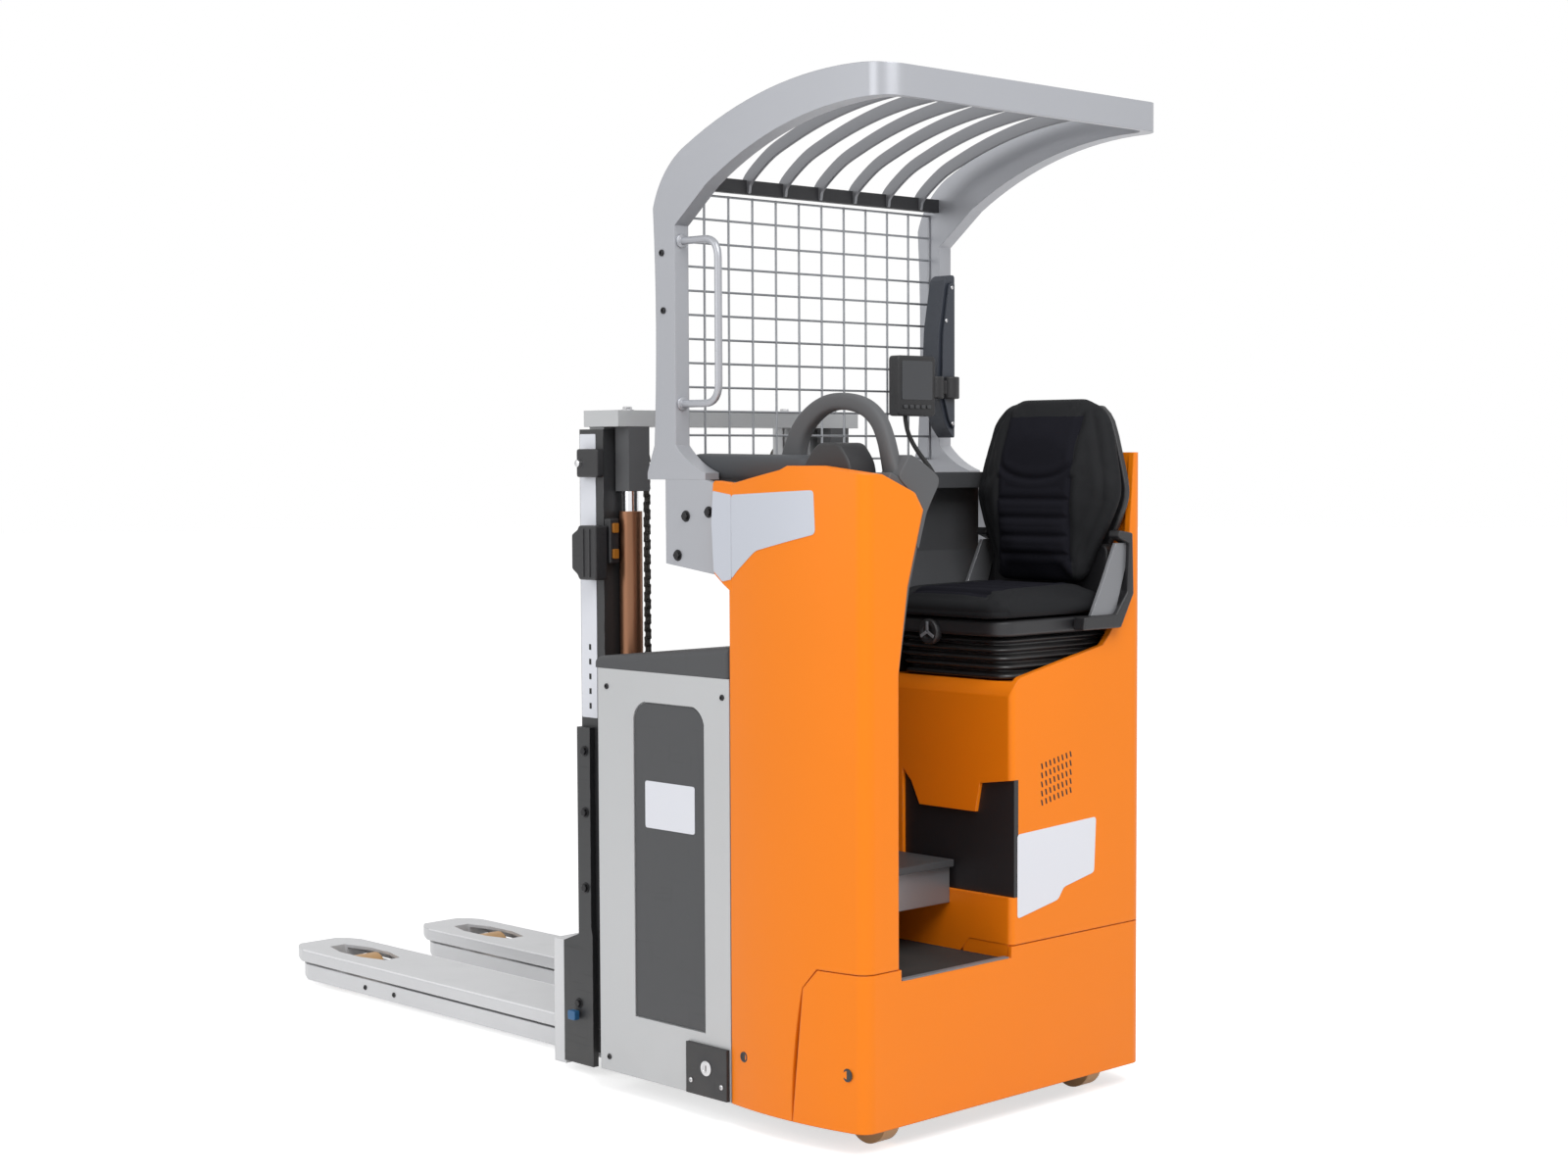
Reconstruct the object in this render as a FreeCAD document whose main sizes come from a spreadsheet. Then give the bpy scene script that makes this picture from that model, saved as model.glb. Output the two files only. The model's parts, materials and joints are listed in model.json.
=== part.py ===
import FreeCAD, Part
import math
import os
import re
import Sketcher
from FreeCAD import Placement, Rotation, Vector

# Seated double-deck pallet stacker. +X points towards the fork tips, +Y to the truck's left, +Z up.
# The origin is on the ground, in the middle of the truck's length and width. Every X size below is a
# station, measured forward from the rear face of the body, and each piece is then moved back as a
# whole by half of the truck's length.

SIZES = [
    # name, millimetres
    ("fork_tip", 2178), ("guard_tail", 53),
    # body shells
    ("body_front", 353), ("side_half", 422), ("rear_taper", 18), ("side_bow", 18), ("rear_corner", 30),
    ("skirt_low", 46), ("skirt_wall", 10), ("skirt_top", 344), ("skirt_front", 160), ("sill_top", 322),
    ("skirt_sweep", 38), ("seam", 2), ("shell", 8), ("edge_round", 12), ("plate_top", 312),
    ("plate_thick", 12), ("mat_thick", 8), ("mat_gap", 3),
    # pillar left of the footwell
    ("pillar_in", 311), ("pillar_shoulder", 898), ("pillar_knee", 1062), ("knee_lean", 25),
    ("pillar_lean_in", 243), ("pillar_lean", 1207), ("lean_rise", 28), ("lean_run", 19),
    ("pillar_nose", 371), ("nose_low", 1050), ("nose_high", 1100), ("pillar_flank", 1250),
    ("pillar_peak", 1290), ("peak_back", 107), ("peak_front", 180), ("peak_run", 20), ("trim_thick", 14),
    # pedestal, toe recess and footrest
    ("pedestal_top", 864), ("pedestal_rim", 923), ("rim_thick", 14), ("rim_corner", 28), ("rim_sag", 12),
    ("side_rise", 45), ("side_rise_top", 1314), ("side_knee", 1056), ("toe_low", 440), ("toe_high", 672),
    ("toe_front", 296), ("toe_back", 96), ("toe_drop", 70), ("toe_depth", 20), ("toe_panel", 12),
    ("footrest_back", 165), ("footrest_low", 412), ("footrest_top", 500), ("footrest_lid", 14),
    ("footrest_overhang", 12), ("footrest_gap", 1),
    # walls in front of the driver
    ("bulkhead_thick", 12), ("bulkhead_top", 945), ("ledge_top", 1273), ("ledge_front", 452),
    ("ledge_drop", 83), ("ledge_lip", 28), ("ledge_skin", 8), ("ledge_back", 362), ("ledge_tray", 33),
    ("panel_knee", 1105),
    # battery bay
    ("battery_back", 356), ("battery_front", 764), ("panel_thick", 14), ("panel_top", 877),
    ("panel_corner", 12), ("inset_back", 430), ("inset_front", 645), ("inset_low", 172),
    ("inset_top", 816), ("inset_corner", 34), ("inset_depth", 5), ("inset_plate", 3),
    ("lock_front", 480), ("lock_top", 150), ("lock_thick", 8), ("lid_top_back", 940),
    ("lid_top_front", 900), ("lid_corner", 14), ("lid_hinge_edge", 5), ("lid_seam", 2), ("lid_lip", 1),
    ("cell_gap", 12), ("floor_low", 50), ("floor_thick", 12), ("beam_half", 350), ("beam_front", 900),
    ("beam_top", 100),
    # fixed mast and lift cylinders
    ("mast_back", 822), ("mast_front", 899), ("mast_half", 350), ("mast_wall", 10), ("mast_in", 300),
    ("mast_top", 1365), ("slide_gap", 5), ("outer_tie_low", 640), ("outer_tie_high", 740),
    ("anchor_rim", 4), ("anchor_depth", 30), ("foot_plate", 14), ("foot_back", 857), ("foot_front", 950),
    ("foot_low", 20), ("foot_step", 279), ("foot_slope", 20), ("foot_heel", 4), ("foot_top", 740),
    ("cover_deep", 35), ("cover_back", 22), ("cover_front", 56), ("cover_bevel", 25), ("box_low", 1052),
    ("box_top", 1165), ("cylinder_at", 797), ("cylinder_side", 297), ("cylinder_radius", 24),
    ("cylinder_top", 1194), ("cylinder_floor", 20), ("rod_radius", 16), ("rod_length", 900),
    ("rod_gap", 0.3), ("rod_show", 42), ("head_in", 32),
    # rising mast, chain wheels and chains
    ("inner_in", 262), ("inner_wall", 8), ("inner_tie", 60), ("tie_back", 772), ("tie_top", 1404),
    ("pulley_at", 876), ("pulley_height", 1296), ("pulley_radius", 30), ("pulley_side", 215),
    ("pulley_width", 18), ("pulley_pin", 8), ("hanger_half", 16), ("hanger_thick", 6), ("hanger_gap", 1),
    ("running_gap", 0.05), ("chain_thick", 8), ("chain_width", 16), ("chain_pitch", 25), ("chain_waist", 4),
    # fork carriage, forks and load arms
    ("carriage_back", 915), ("carriage_front", 955), ("carriage_low", 60), ("carriage_top", 430),
    ("carriage_step", 20), ("cheek_out", 256), ("cheek_thick", 16), ("roll_inset", 30), ("roll_drop", 40),
    ("lug_depth", 30), ("lug_half", 12), ("lug_back", 24), ("fork_front", 989), ("fork_in", 100),
    ("fork_out", 278), ("fork_low", 55), ("fork_top", 85), ("fork_plate", 8), ("fork_ramp", 17),
    ("fork_edge", 5), ("nose_length", 70), ("nose_in", 45), ("nose_bow", 8), ("arm_low", 12),
    ("arm_top", 50), ("arm_ramp", 20), ("arm_set_back", 28), ("arm_lap", 60), ("arm_root_out", 360),
    ("arm_root_gap", 5), ("slot_half", 120), ("slot_width", 84), ("slot_end", 44), ("slot_room", 6),
    ("web_behind", 30), ("roller_at", 1965), ("roller_radius", 40), ("roller_width", 70),
    ("roller_pin", 7),
    # drive wheel and castors
    ("drive_at", 215), ("drive_radius", 115), ("drive_width", 75), ("drive_pin", 15), ("drive_crown", 90),
    ("crown_low", 270), ("drive_cheek", 12), ("drive_cheek_half", 60), ("cheek_gap", 6),
    ("gear_depth", 26), ("turn_gap", 0.3), ("castor_at", 119), ("castor_inset", 122),
    ("castor_trail", 35), ("castor_radius", 50), ("castor_width", 40), ("castor_pin", 8),
    ("castor_stem", 32), ("castor_head", 116), ("castor_crown", 14), ("castor_cheek", 6),
    ("castor_gap", 5), ("castor_cheek_half", 22),
    # overhead guard
    ("guard_half", 400), ("guard_depth", 36), ("guard_corner", 46), ("upright_back", 533),
    ("upright_front", 598), ("foot_front_flare", 620), ("foot_back_flare", 446), ("foot_rim", 14),
    ("upright_low", 1262), ("flare_top", 1330), ("flare_bow", 7), ("guard_bend_drop", 223),
    ("bend_bow", 17), ("brow_station", 497), ("roof_bow", 32), ("roof_back", 9), ("guard_top", 2023),
    ("roof_fall", 5), ("member_depth", 63), ("soffit_front", 440), ("soffit_middle", 260),
    ("soffit_drop", 187),
    ("upright_drop", 260), ("band_thick", 12), ("bar_thick", 8), ("bar_count", 6), ("bar_pitch", 104),
    ("bar_depth", 48), ("bar_nose", 40), ("cross_back", 534), ("cross_front", 550), ("cross_drop", 185),
    ("cross_depth", 28), ("mesh_at", 560), ("mesh_wire", 5), ("mesh_low", 1300), ("mesh_seam", 4),
    ("mesh_columns", 11), ("mesh_rows", 11), ("bracket_thick", 12), ("bracket_toe", 418),
    ("bracket_front", 565), ("bracket_low", 1077), ("bracket_rise", 18), ("bracket_slope", 33),
    ("handle_thick", 22), ("handle_bevel", 6), ("handle_low", 1410),
    ("handle_drop", 65), ("handle_reach", 415),
    ("handle_bend", 51),
    # rail, hoop, pad and pod on the pillar
    ("hoop_side", 285), ("hoop_thick", 28), ("hoop_grip", 38), ("hoop_front", 342),
    ("hoop_rear", 26), ("hoop_top", 1431),
    ("hoop_bend", 22), ("hoop_bevel", 7), ("pad_top", 1310), ("pad_low", 1262), ("pad_rear", 204),
    ("pad_round", 10), ("pad_front", 552), ("pad_in", 292), ("pad_out", 362), ("pod_in", 304),
    ("pod_out", 378), ("pod_rear", 62), ("pod_front", 208), ("pod_low", 1240), ("pod_slope", 36),
    ("pod_top", 1334),
    # seat
    ("seat_at", 172), ("seat_corner", 45), ("cushion_half", 178), ("cushion_low", 985),
    ("cushion_top", 1052), ("cushion_front", 45), ("cushion_roll", 30), ("cushion_gap", 62),
    ("base_front", 8), ("base_half", 148), ("base_gap", 32), ("base_rise", 34), ("knob_radius", 26),
    ("knob_reach", 22), ("knob_off", 28), ("back_low", 1062), ("back_waist", 1136),
    ("back_shoulder", 1210), ("back_top", 1410), ("back_depth", 90), ("back_lean", 22), ("back_gap", 42),
    ("shoulder_half", 200), ("crown_half", 125), ("hinge_thick", 8), ("hinge_top", 1130),
    ("hinge_foot", 152), ("hinge_back", 37), ("hinge_wide", 75),
    # terminal on the right upright
    ("screen_top", 1521), ("screen_low", 1392), ("screen_in", 171), ("screen_out", 287),
    ("screen_at", 470), ("screen_thick", 32), ("arm_rise", 40), ("arm_depth", 36), ("arm_skin", 6),
    ("cover_low", 1340), ("cover_top", 1700), ("cover_in", 335), ("cover_swell", 20),
]

doc = FreeCAD.newDocument("forklift")
sheet = doc.addObject("Spreadsheet::Sheet", "Sizes")
for row, (name, millimetres) in enumerate(SIZES, start=1):
    sheet.set(f"A{row}", name)
    sheet.set(f"B{row}", str(millimetres))
    sheet.setAlias(f"B{row}", name)
doc.recompute()

NAMES = {name for name, _ in SIZES}
PLANE_ROLE = {"top": "XY_Plane", "side": "XZ_Plane", "rear": "YZ_Plane"}
# how far the whole truck moves back from its stations
TO_CENTRE = "-(fork_tip - guard_tail) / 2"
pieces = []


def bound(formula):
    """Write each size name in a formula as a reference to its cell."""
    return re.sub(r"[a-z]\w*", lambda word: f"Sizes.{word[0]}" if word[0] in NAMES else word[0],
                  str(formula))


def mm(formula):
    """Value of a formula of size names, in millimetres."""
    return float(sheet.evalExpression(bound(formula)))


def outline(body, plane, offset, loops):
    """Closed sketch loops on one of the body's own planes, every corner bound to the sheet.

    A corner is (across, up) or (across, up, bow); bow is how far the edge that leaves that corner
    bows out to the right of its direction."""
    sketch = body.newObject("Sketcher::SketchObject", "Outline")
    base = next(item for item in body.Origin.OriginFeatures if item.Role == PLANE_ROLE[plane])
    sketch.AttachmentSupport = [(base, "")]
    sketch.MapMode = "FlatFace"
    sketch.setExpression("AttachmentOffset.Base.z", bound(offset))
    for corners in loops:
        draw_loop(sketch, corners)
    return sketch


def draw_loop(sketch, corners):
    """Draw one closed loop of lines and arcs and fix it by its corners and radii."""
    spots = [Vector(mm(corner[0]), mm(corner[1]), 0) for corner in corners]
    ends = []
    for index, corner in enumerate(corners):
        start, finish = spots[index], spots[(index + 1) % len(spots)]
        edge = Part.LineSegment(start, finish)
        if len(corner) > 2:
            along = (finish - start).normalize()
            middle = (start + finish) / 2 + Vector(along.y, -along.x, 0) * mm(corner[2])
            edge = Part.Arc(start, middle, finish)
        drawn = sketch.addGeometry(edge, False)
        first = 1 if sketch.getPoint(drawn, 1).isEqual(start, 1e-4) else 2
        ends.append((drawn, first, 3 - first))
    for index, corner in enumerate(corners):
        drawn, first, last = ends[index]
        following = ends[(index + 1) % len(ends)]
        nearby = corners[(index + 1) % len(corners)]
        sketch.addConstraint(Sketcher.Constraint("Coincident", drawn, last, following[0], following[1]))
        for kind, formula in (("DistanceX", corner[0]), ("DistanceY", corner[1])):
            fix(sketch, Sketcher.Constraint(kind, drawn, first, mm(formula)), formula)
        if len(corner) > 2:
            across, up = f"(({nearby[0]}) - ({corner[0]}))", f"(({nearby[1]}) - ({corner[1]}))"
            chord = f"({across}^2 + {up}^2)"
            radius = f"({chord} / 4 + ({corner[2]})^2) / (2 * abs({corner[2]}))"
            fix(sketch, Sketcher.Constraint("Radius", drawn, mm(radius)), radius)


def fix(sketch, constraint, formula):
    """Add a dimension and bind it to a formula, unless it is zero and needs no cell."""
    number = sketch.addConstraint(constraint)
    if re.search(r"[a-z]", str(formula)):
        sketch.setExpression(f"Constraints[{number}]", bound(formula))


def near_side(plane, low, high):
    """Offset of the plane that a length is measured from, along the plane's own normal."""
    return f"-({high})" if plane == "side" else low


def prism(plane, low, high, *loops):
    """Body padded from an outline on the top, side or rear plane, between two places."""
    body = doc.addObject("PartDesign::Body", "Prism")
    pad = body.newObject("PartDesign::Pad", "Pad")
    pad.Profile = outline(body, plane, near_side(plane, low, high), loops)
    pad.setExpression("Length", bound(f"({high}) - ({low})"))
    doc.recompute()
    return body


def rounded(body, radius, chosen):
    """Round the edges of a body that the test picks."""
    names = [f"Edge{number}" for number, edge in enumerate(body.Shape.Edges, start=1) if chosen(edge)]
    base = body.Tip
    fillet = body.newObject("PartDesign::Fillet", "Round")
    fillet.Base = (base, names)
    fillet.setExpression("Radius", bound(radius))
    body.Tip = fillet
    doc.recompute()
    return body


def bevelled(body, size, chosen):
    """Cut a flat bevel along the edges of a body that the test picks."""
    names = [f"Edge{number}" for number, edge in enumerate(body.Shape.Edges, start=1) if chosen(edge)]
    base = body.Tip
    bevel = body.newObject("PartDesign::Chamfer", "Bevel")
    bevel.Base = (base, names)
    bevel.setExpression("Size", bound(size))
    body.Tip = bevel
    doc.recompute()
    return body


def runs(edge, axis):
    """True where a straight edge runs along an axis."""
    if edge.Curve.TypeId != "Part::GeomLine":
        return False
    return abs(abs(edge.Curve.Direction.dot(axis)) - 1) < 1e-6


def box(x_low, x_high, y_low, y_high, z_low, z_high):
    """Box between six places, each a formula of sizes."""
    block = doc.addObject("Part::Box", "Block")
    spans = (("Length", "x", x_low, x_high), ("Width", "y", y_low, y_high), ("Height", "z", z_low, z_high))
    for side, axis, low, high in spans:
        block.setExpression(side, bound(f"({high}) - ({low})"))
        block.setExpression(f"Placement.Base.{axis}", bound(low))
    return block


def rod(axis, radius, low, high, across, up):
    """Cylinder along an axis between two places, centred on the other two directions in order."""
    turn = {"x": Rotation(Vector(0, 1, 0), 90), "y": Rotation(Vector(1, 0, 0), -90), "z": Rotation()}[axis]
    places = {"x": (low, across, up), "y": (across, low, up), "z": (across, up, low)}[axis]
    bar = doc.addObject("Part::Cylinder", "Rod")
    bar.Placement = Placement(Vector(), turn)
    bar.setExpression("Radius", bound(radius))
    bar.setExpression("Height", bound(f"({high}) - ({low})"))
    for letter, place in zip("xyz", places):
        bar.setExpression(f"Placement.Base.{letter}", bound(place))
    return bar


def join(*members):
    """Fuse shapes into one, or gather shapes that don't touch."""
    whole = doc.addObject("Part::MultiFuse", "Join")
    whole.Shapes = list(members)
    whole.Refine = True
    doc.recompute()
    return whole


def shared(*members):
    """The space that all the shapes have in common."""
    whole = doc.addObject("Part::MultiCommon", "Shared")
    whole.Shapes = list(members)
    whole.Refine = True
    doc.recompute()
    return whole


def without(base, *tools):
    """Cut tools out of a shape."""
    cut = doc.addObject("Part::Cut", "Cut")
    cut.Base = base
    cut.Tool = tools[0] if len(tools) == 1 else join(*tools)
    cut.Refine = True
    doc.recompute()
    return cut


def mirrored(source):
    """The same shape on the other side of the truck's middle plane."""
    copy = doc.addObject("Part::Mirroring", "Mirror")
    copy.Source = source
    copy.Normal = Vector(0, 1, 0)
    doc.recompute()
    return copy


def both(source):
    """A shape and its mirror image, as one piece."""
    return join(source, mirrored(source))


def keep(shape, label):
    """Make a shape a named sub-part and move it from its stations to the truck's own frame."""
    shape.Label = label
    moved = TO_CENTRE
    for path, formula in shape.ExpressionEngine:
        if path.lstrip(".") == "Placement.Base.x":
            moved = f"({formula}) + {bound(TO_CENTRE)}"
    shape.setExpression("Placement.Base.x", bound(moved) if moved == TO_CENTRE else moved)
    pieces.append(shape)
    return shape


def body_plan(low, high, inset="0"):
    """The truck's body seen from above: bowed flanks and rounded rear corners."""
    rear, side, front = f"side_half - rear_taper - {inset}", f"side_half - {inset}", "body_front"
    return prism("top", low, high, [
        (inset, f"-({rear})", "side_bow"), (front, f"-({side})"), (front, side, "side_bow"), (inset, rear)])


def rounded_plan(low, high, inset="0"):
    """The body seen from above, with its rear corners rounded."""
    at_rear = mm(inset) + 1
    return rounded(body_plan(low, high, inset), f"rear_corner - {inset}", lambda edge: (
        runs(edge, Vector(0, 0, 1)) and edge.BoundBox.XMax < at_rear))


def flank(top_corners):
    """Side outline of the body above the skirt seam, closed by the corners along its top."""
    return [("-1", "skirt_top + seam"), ("skirt_front - skirt_sweep - 5 * seam", "skirt_top + seam"),
            ("skirt_front - skirt_sweep / 3", "skirt_top - skirt_sweep", "-skirt_sweep / 5"),
            ("skirt_front + skirt_sweep / 3 + seam", "skirt_low"), ("body_front", "skirt_low"),
            ("body_front", "nose_low"), ("pillar_nose", "nose_high"), *top_corners]


def rear_skirt():
    """Orange lower body behind the flank seam, a wall that is open below and in front."""
    side = prism("side", "-(side_half + side_bow)", "side_half + side_bow", [
        ("-1", "skirt_low"), ("skirt_front + skirt_sweep / 3", "skirt_low"),
        ("skirt_front - skirt_sweep / 3 - seam", "skirt_top - skirt_sweep"),
        ("skirt_front - skirt_sweep - 6 * seam", "skirt_top"), ("-1", "skirt_top")])
    sill = box("-1", "skirt_front", "0", "pillar_in", "sill_top", "skirt_top + 1")
    wall = shared(rounded_plan("skirt_low", "skirt_top"), side)
    hollow = rounded_plan("skirt_low - 1", "skirt_top + 1", "skirt_wall")
    keep(without(wall, hollow, sill), "rear_skirt")


def chassis_plate():
    """Steel plate inside the skirt that carries the wheels, with its castor stems."""
    plate = rounded_plan("plate_top - plate_thick", "plate_top", "skirt_wall")
    stems = [rod("z", "castor_stem", "castor_head + castor_crown + turn_gap", "plate_top - plate_thick",
                 "castor_at", side) for side in ("side_half - castor_inset", "-(side_half - castor_inset)")]
    keep(join(plate, *stems), "chassis_plate")
    keep(box("rim_thick", "body_front - bulkhead_thick", "mat_gap", "pillar_in - mat_gap", "plate_top",
             "plate_top + mat_thick"), "floor_mat")


def console_pillar():
    """Orange pillar left of the footwell: its inner face leans over the driver's knees at the top."""
    outside = "side_half + side_bow"
    side = prism("side", "pillar_lean_in - 1", outside, flank([
        ("pillar_nose", "pillar_flank"), ("peak_front + peak_run", "pillar_peak - shell"),
        ("peak_front", "pillar_peak"), ("peak_back", "pillar_peak"), ("-1", "pillar_peak - 2 * shell")]))
    rear = prism("rear", "0", "pillar_nose + 1", [
        ("pillar_in", "skirt_low - 1"), (outside, "skirt_low - 1"), (outside, "pillar_peak + 2 * shell"),
        ("pillar_in + lean_run", "pillar_flank + bulkhead_thick"),
        ("pillar_lean_in + lean_run", "pillar_lean + lean_rise"), ("pillar_lean_in", "pillar_lean"),
        ("pillar_in - knee_lean", "pillar_knee"), ("pillar_in", "pillar_shoulder")])
    rounded(rear, "edge_round", lambda edge: (
        edge.BoundBox.XMax < mm("seam") and edge.BoundBox.YMax < mm("pillar_in + 1")))
    nose = box("body_front - 1", "pillar_nose", "pillar_lean_in - 1", "side_half - rear_taper - 2 * seam",
               "skirt_low", "pillar_peak")
    below = rounded_plan("skirt_low - 1", "plate_top", "skirt_wall")
    inside = box("shell", "body_front - shell", "pillar_in + shell", "side_half - rear_taper - shell",
                 "plate_top + shell", "pillar_lean")
    solid = shared(join(rounded_plan("skirt_low", "hoop_top"), nose), side, rear)
    keep(without(solid, below, inside), "console_pillar")
    return solid


def console_rail(pillar):
    """Dark rail on the pillar, armrest pad, grab hoop and inner strip, and the black control pod."""
    pad = prism("side", "pad_in", "pad_out", [
        ("pad_rear", "pad_low + 2 * pad_round"), ("pillar_nose", "pillar_flank"),
        ("pad_front - 3 * pad_round", "pad_low"), ("pad_front - seam", "pad_low + pad_round"),
        ("pad_front", "pad_low + 2 * pad_round"), ("pad_front - pad_round", "pad_top - seam"),
        ("pad_front - 5 * pad_round", "pad_top"), ("pad_rear + seam", "pad_top")])
    bevelled(pad, "pad_round", lambda edge: edge.BoundBox.YLength < 1 and (
        edge.BoundBox.ZMin > mm("pad_top - 2 * seam") or (
            edge.BoundBox.XMin > mm("pad_front - 4 * pad_round"))))
    edge_at = ("pillar_in + lean_run", "pillar_flank + trim_thick")
    knee_at = ("pillar_lean_in", "pillar_lean")
    strip = prism("rear", "hoop_rear - trim_thick", "hoop_front - trim_thick", [
        ("pillar_in", "pillar_shoulder - trim_thick"), ("pillar_in - knee_lean", "pillar_knee"), knee_at,
        (f"{knee_at[0]} + lean_run", f"{knee_at[1]} + lean_rise"), edge_at,
        (f"{edge_at[0]} - trim_thick / 2", f"{edge_at[1]} + trim_thick"),
        (f"{knee_at[0]} + lean_run - trim_thick / 2", f"{knee_at[1]} + lean_rise + trim_thick"),
        (f"{knee_at[0]} - trim_thick", knee_at[1]), ("pillar_in - knee_lean - trim_thick", "pillar_knee"),
        ("pillar_in - trim_thick / 2", "pillar_shoulder - trim_thick")])
    width = "hoop_thick / 2"
    hoop = prism("side", f"hoop_side - {width}", f"hoop_side + {width}", [
        ("hoop_front", "pillar_flank"), ("hoop_front", "hoop_top - 2 * hoop_grip"),
        ("hoop_front - 5 / 4 * hoop_grip", "hoop_top - 3 / 2 * hoop_grip"),
        ("hoop_front - 3 * hoop_grip", "hoop_top"), ("hoop_front - 6 * hoop_grip", "hoop_top - shell"),
        ("hoop_rear + hoop_grip / 2", "hoop_top - 3 / 2 * hoop_grip"), ("hoop_rear", "pillar_flank"),
        ("hoop_rear + hoop_grip", "pillar_flank"),
        ("hoop_rear + 4 / 3 * hoop_grip", "hoop_top - 2 * hoop_grip"),
        ("hoop_rear + 5 / 2 * hoop_grip", "hoop_top - hoop_grip"),
        ("hoop_front - 10 / 3 * hoop_grip", "hoop_top - hoop_grip"),
        ("hoop_front - 2 * hoop_grip", "hoop_top - 2 * hoop_grip"),
        ("hoop_front - 3 / 2 * hoop_grip", "pillar_flank")])
    rounded(hoop, "hoop_bend", lambda edge: runs(edge, Vector(0, 1, 0)) and (
        edge.BoundBox.ZMin > mm("pillar_flank") + 1))
    bevelled(hoop, "hoop_bevel", lambda edge: edge.BoundBox.YLength < 1 and (
        edge.BoundBox.ZMax > mm("pillar_flank") + 1))
    keep(without(join(pad, strip, hoop), pillar), "console_rail")
    mound = prism("side", "pod_in", "pod_out", [
        ("pod_rear", "pod_low"), ("pod_front", "pod_low"),
        ("pod_front - pod_slope / 3", "pod_top - pod_slope"),
        ("pod_front - pod_slope * 4 / 3", "pod_top"), ("pod_rear + pod_slope", "pod_top"),
        ("pod_rear + pod_slope / 4", "pod_top - pod_slope")])
    keep(without(mound, pillar, strip), "control_pod")


def seat_pedestal():
    """Orange box under the seat, with the side panel that rises beside it and a toe recess."""
    outside, wall_in = "-(side_half + side_bow)", "-(side_half - side_rise)"
    side = prism("side", outside, "0", flank([
        ("pillar_nose", "pillar_flank"), ("body_front", "side_rise_top - trim_thick"),
        ("body_front - trim_thick", "side_rise_top"), ("-1", "side_rise_top")]))
    rear = prism("rear", "0", "pillar_nose + 1", [
        ("0", "skirt_low - 1"), ("0", "pedestal_top - rim_corner", "rim_corner / 5"),
        ("-rim_corner", "pedestal_top + rim_corner / 3"),
        (f"{wall_in} + 7 * rim_thick", "pedestal_rim", "-rim_sag"),
        (f"{wall_in} + 3 / 2 * rim_thick", "side_knee"), (wall_in, "side_rise_top"),
        (outside, "side_rise_top"), (outside, "skirt_low - 1")])
    rounded(rear, "edge_round", lambda edge: (
        edge.BoundBox.XMax < mm("seam") and edge.BoundBox.YMin > -mm("seam")))
    nose = box("body_front - 1", "pillar_nose", "-(side_half - rear_taper - 2 * seam)", wall_in, "skirt_low",
               "side_rise_top")
    below = rounded_plan("skirt_low - 1", "plate_top", "skirt_wall")
    well = box("rim_thick", "pillar_nose + 1", wall_in, "1", "pedestal_top", "side_rise_top + 1")
    inside = box("shell", "body_front - shell", "-(side_half - rear_taper - shell)", "-(toe_depth + shell)",
                 "plate_top + shell", "pedestal_top - shell")
    toes = [("-1", "toe_low"), ("toe_front", "toe_low"), ("toe_front", "toe_high"),
            ("toe_front - toe_drop / 3", "toe_high - toe_drop / 3"),
            ("toe_front - toe_drop * 2 / 3", "toe_high - toe_drop"), ("toe_back", "toe_high - toe_drop"),
            ("toe_back - toe_panel", "toe_high - toe_panel"), ("-1", "toe_high")]
    recess = prism("side", "-toe_depth", "1", toes)
    solid = shared(join(rounded_plan("skirt_low", "hoop_top"), nose), side, rear)
    keep(without(solid, below, well, inside, recess), "seat_pedestal")
    panel = prism("side", "-toe_depth", "-toe_depth + toe_panel", toes)
    keep(shared(panel, box("0", "body_front", "-toe_depth", "0", "toe_low", "pedestal_top")), "toe_panel")


def footrest():
    """Grey foot box between the pillar and the pedestal, with its dark lid."""
    back = "body_front - bulkhead_thick"
    low, high = "footrest_gap", "pillar_in - footrest_gap"
    keep(box("footrest_back", back, low, high, "footrest_low", "footrest_top - footrest_lid"),
         "footrest_box")
    keep(box("footrest_back - footrest_overhang", back, low, high, "footrest_top - footrest_lid",
             "footrest_top"), "footrest_lid")


def front_walls():
    """Bulkhead behind the battery and the dark panel with a ledge that stands on it."""
    bulkhead = prism("rear", "body_front - bulkhead_thick", "body_front", [
        ("0", "plate_top"), ("pillar_in", "plate_top"), ("pillar_in", "pillar_shoulder"),
        ("pillar_in - knee_lean * (bulkhead_top - pillar_shoulder) / (pillar_knee - pillar_shoulder)",
         "bulkhead_top"), ("-(side_half - side_rise)", "bulkhead_top"),
        ("-(side_half - side_rise)", "pedestal_top"), ("0", "pedestal_top")])
    keep(bulkhead, "bulkhead")
    foot = "body_front - bulkhead_thick"
    panel = prism("side", "-(guard_half - guard_depth - seam)", "pillar_lean_in - trim_thick - seam", [
        (foot, "bulkhead_top"), ("body_front + seam", "bulkhead_top"),
        ("ledge_front - ledge_lip", "panel_knee"), ("ledge_front - ledge_lip", "ledge_top - ledge_drop"),
        ("ledge_front", "ledge_top - ledge_drop"), ("ledge_front", "ledge_top"), ("ledge_back", "ledge_top"),
        ("ledge_back", "ledge_top - ledge_tray"),
        ("ledge_front - ledge_lip - ledge_skin", "ledge_top - ledge_tray"),
        ("ledge_front - ledge_lip - ledge_skin", "panel_knee + seam")])
    keep(panel, "front_panel")


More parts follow.
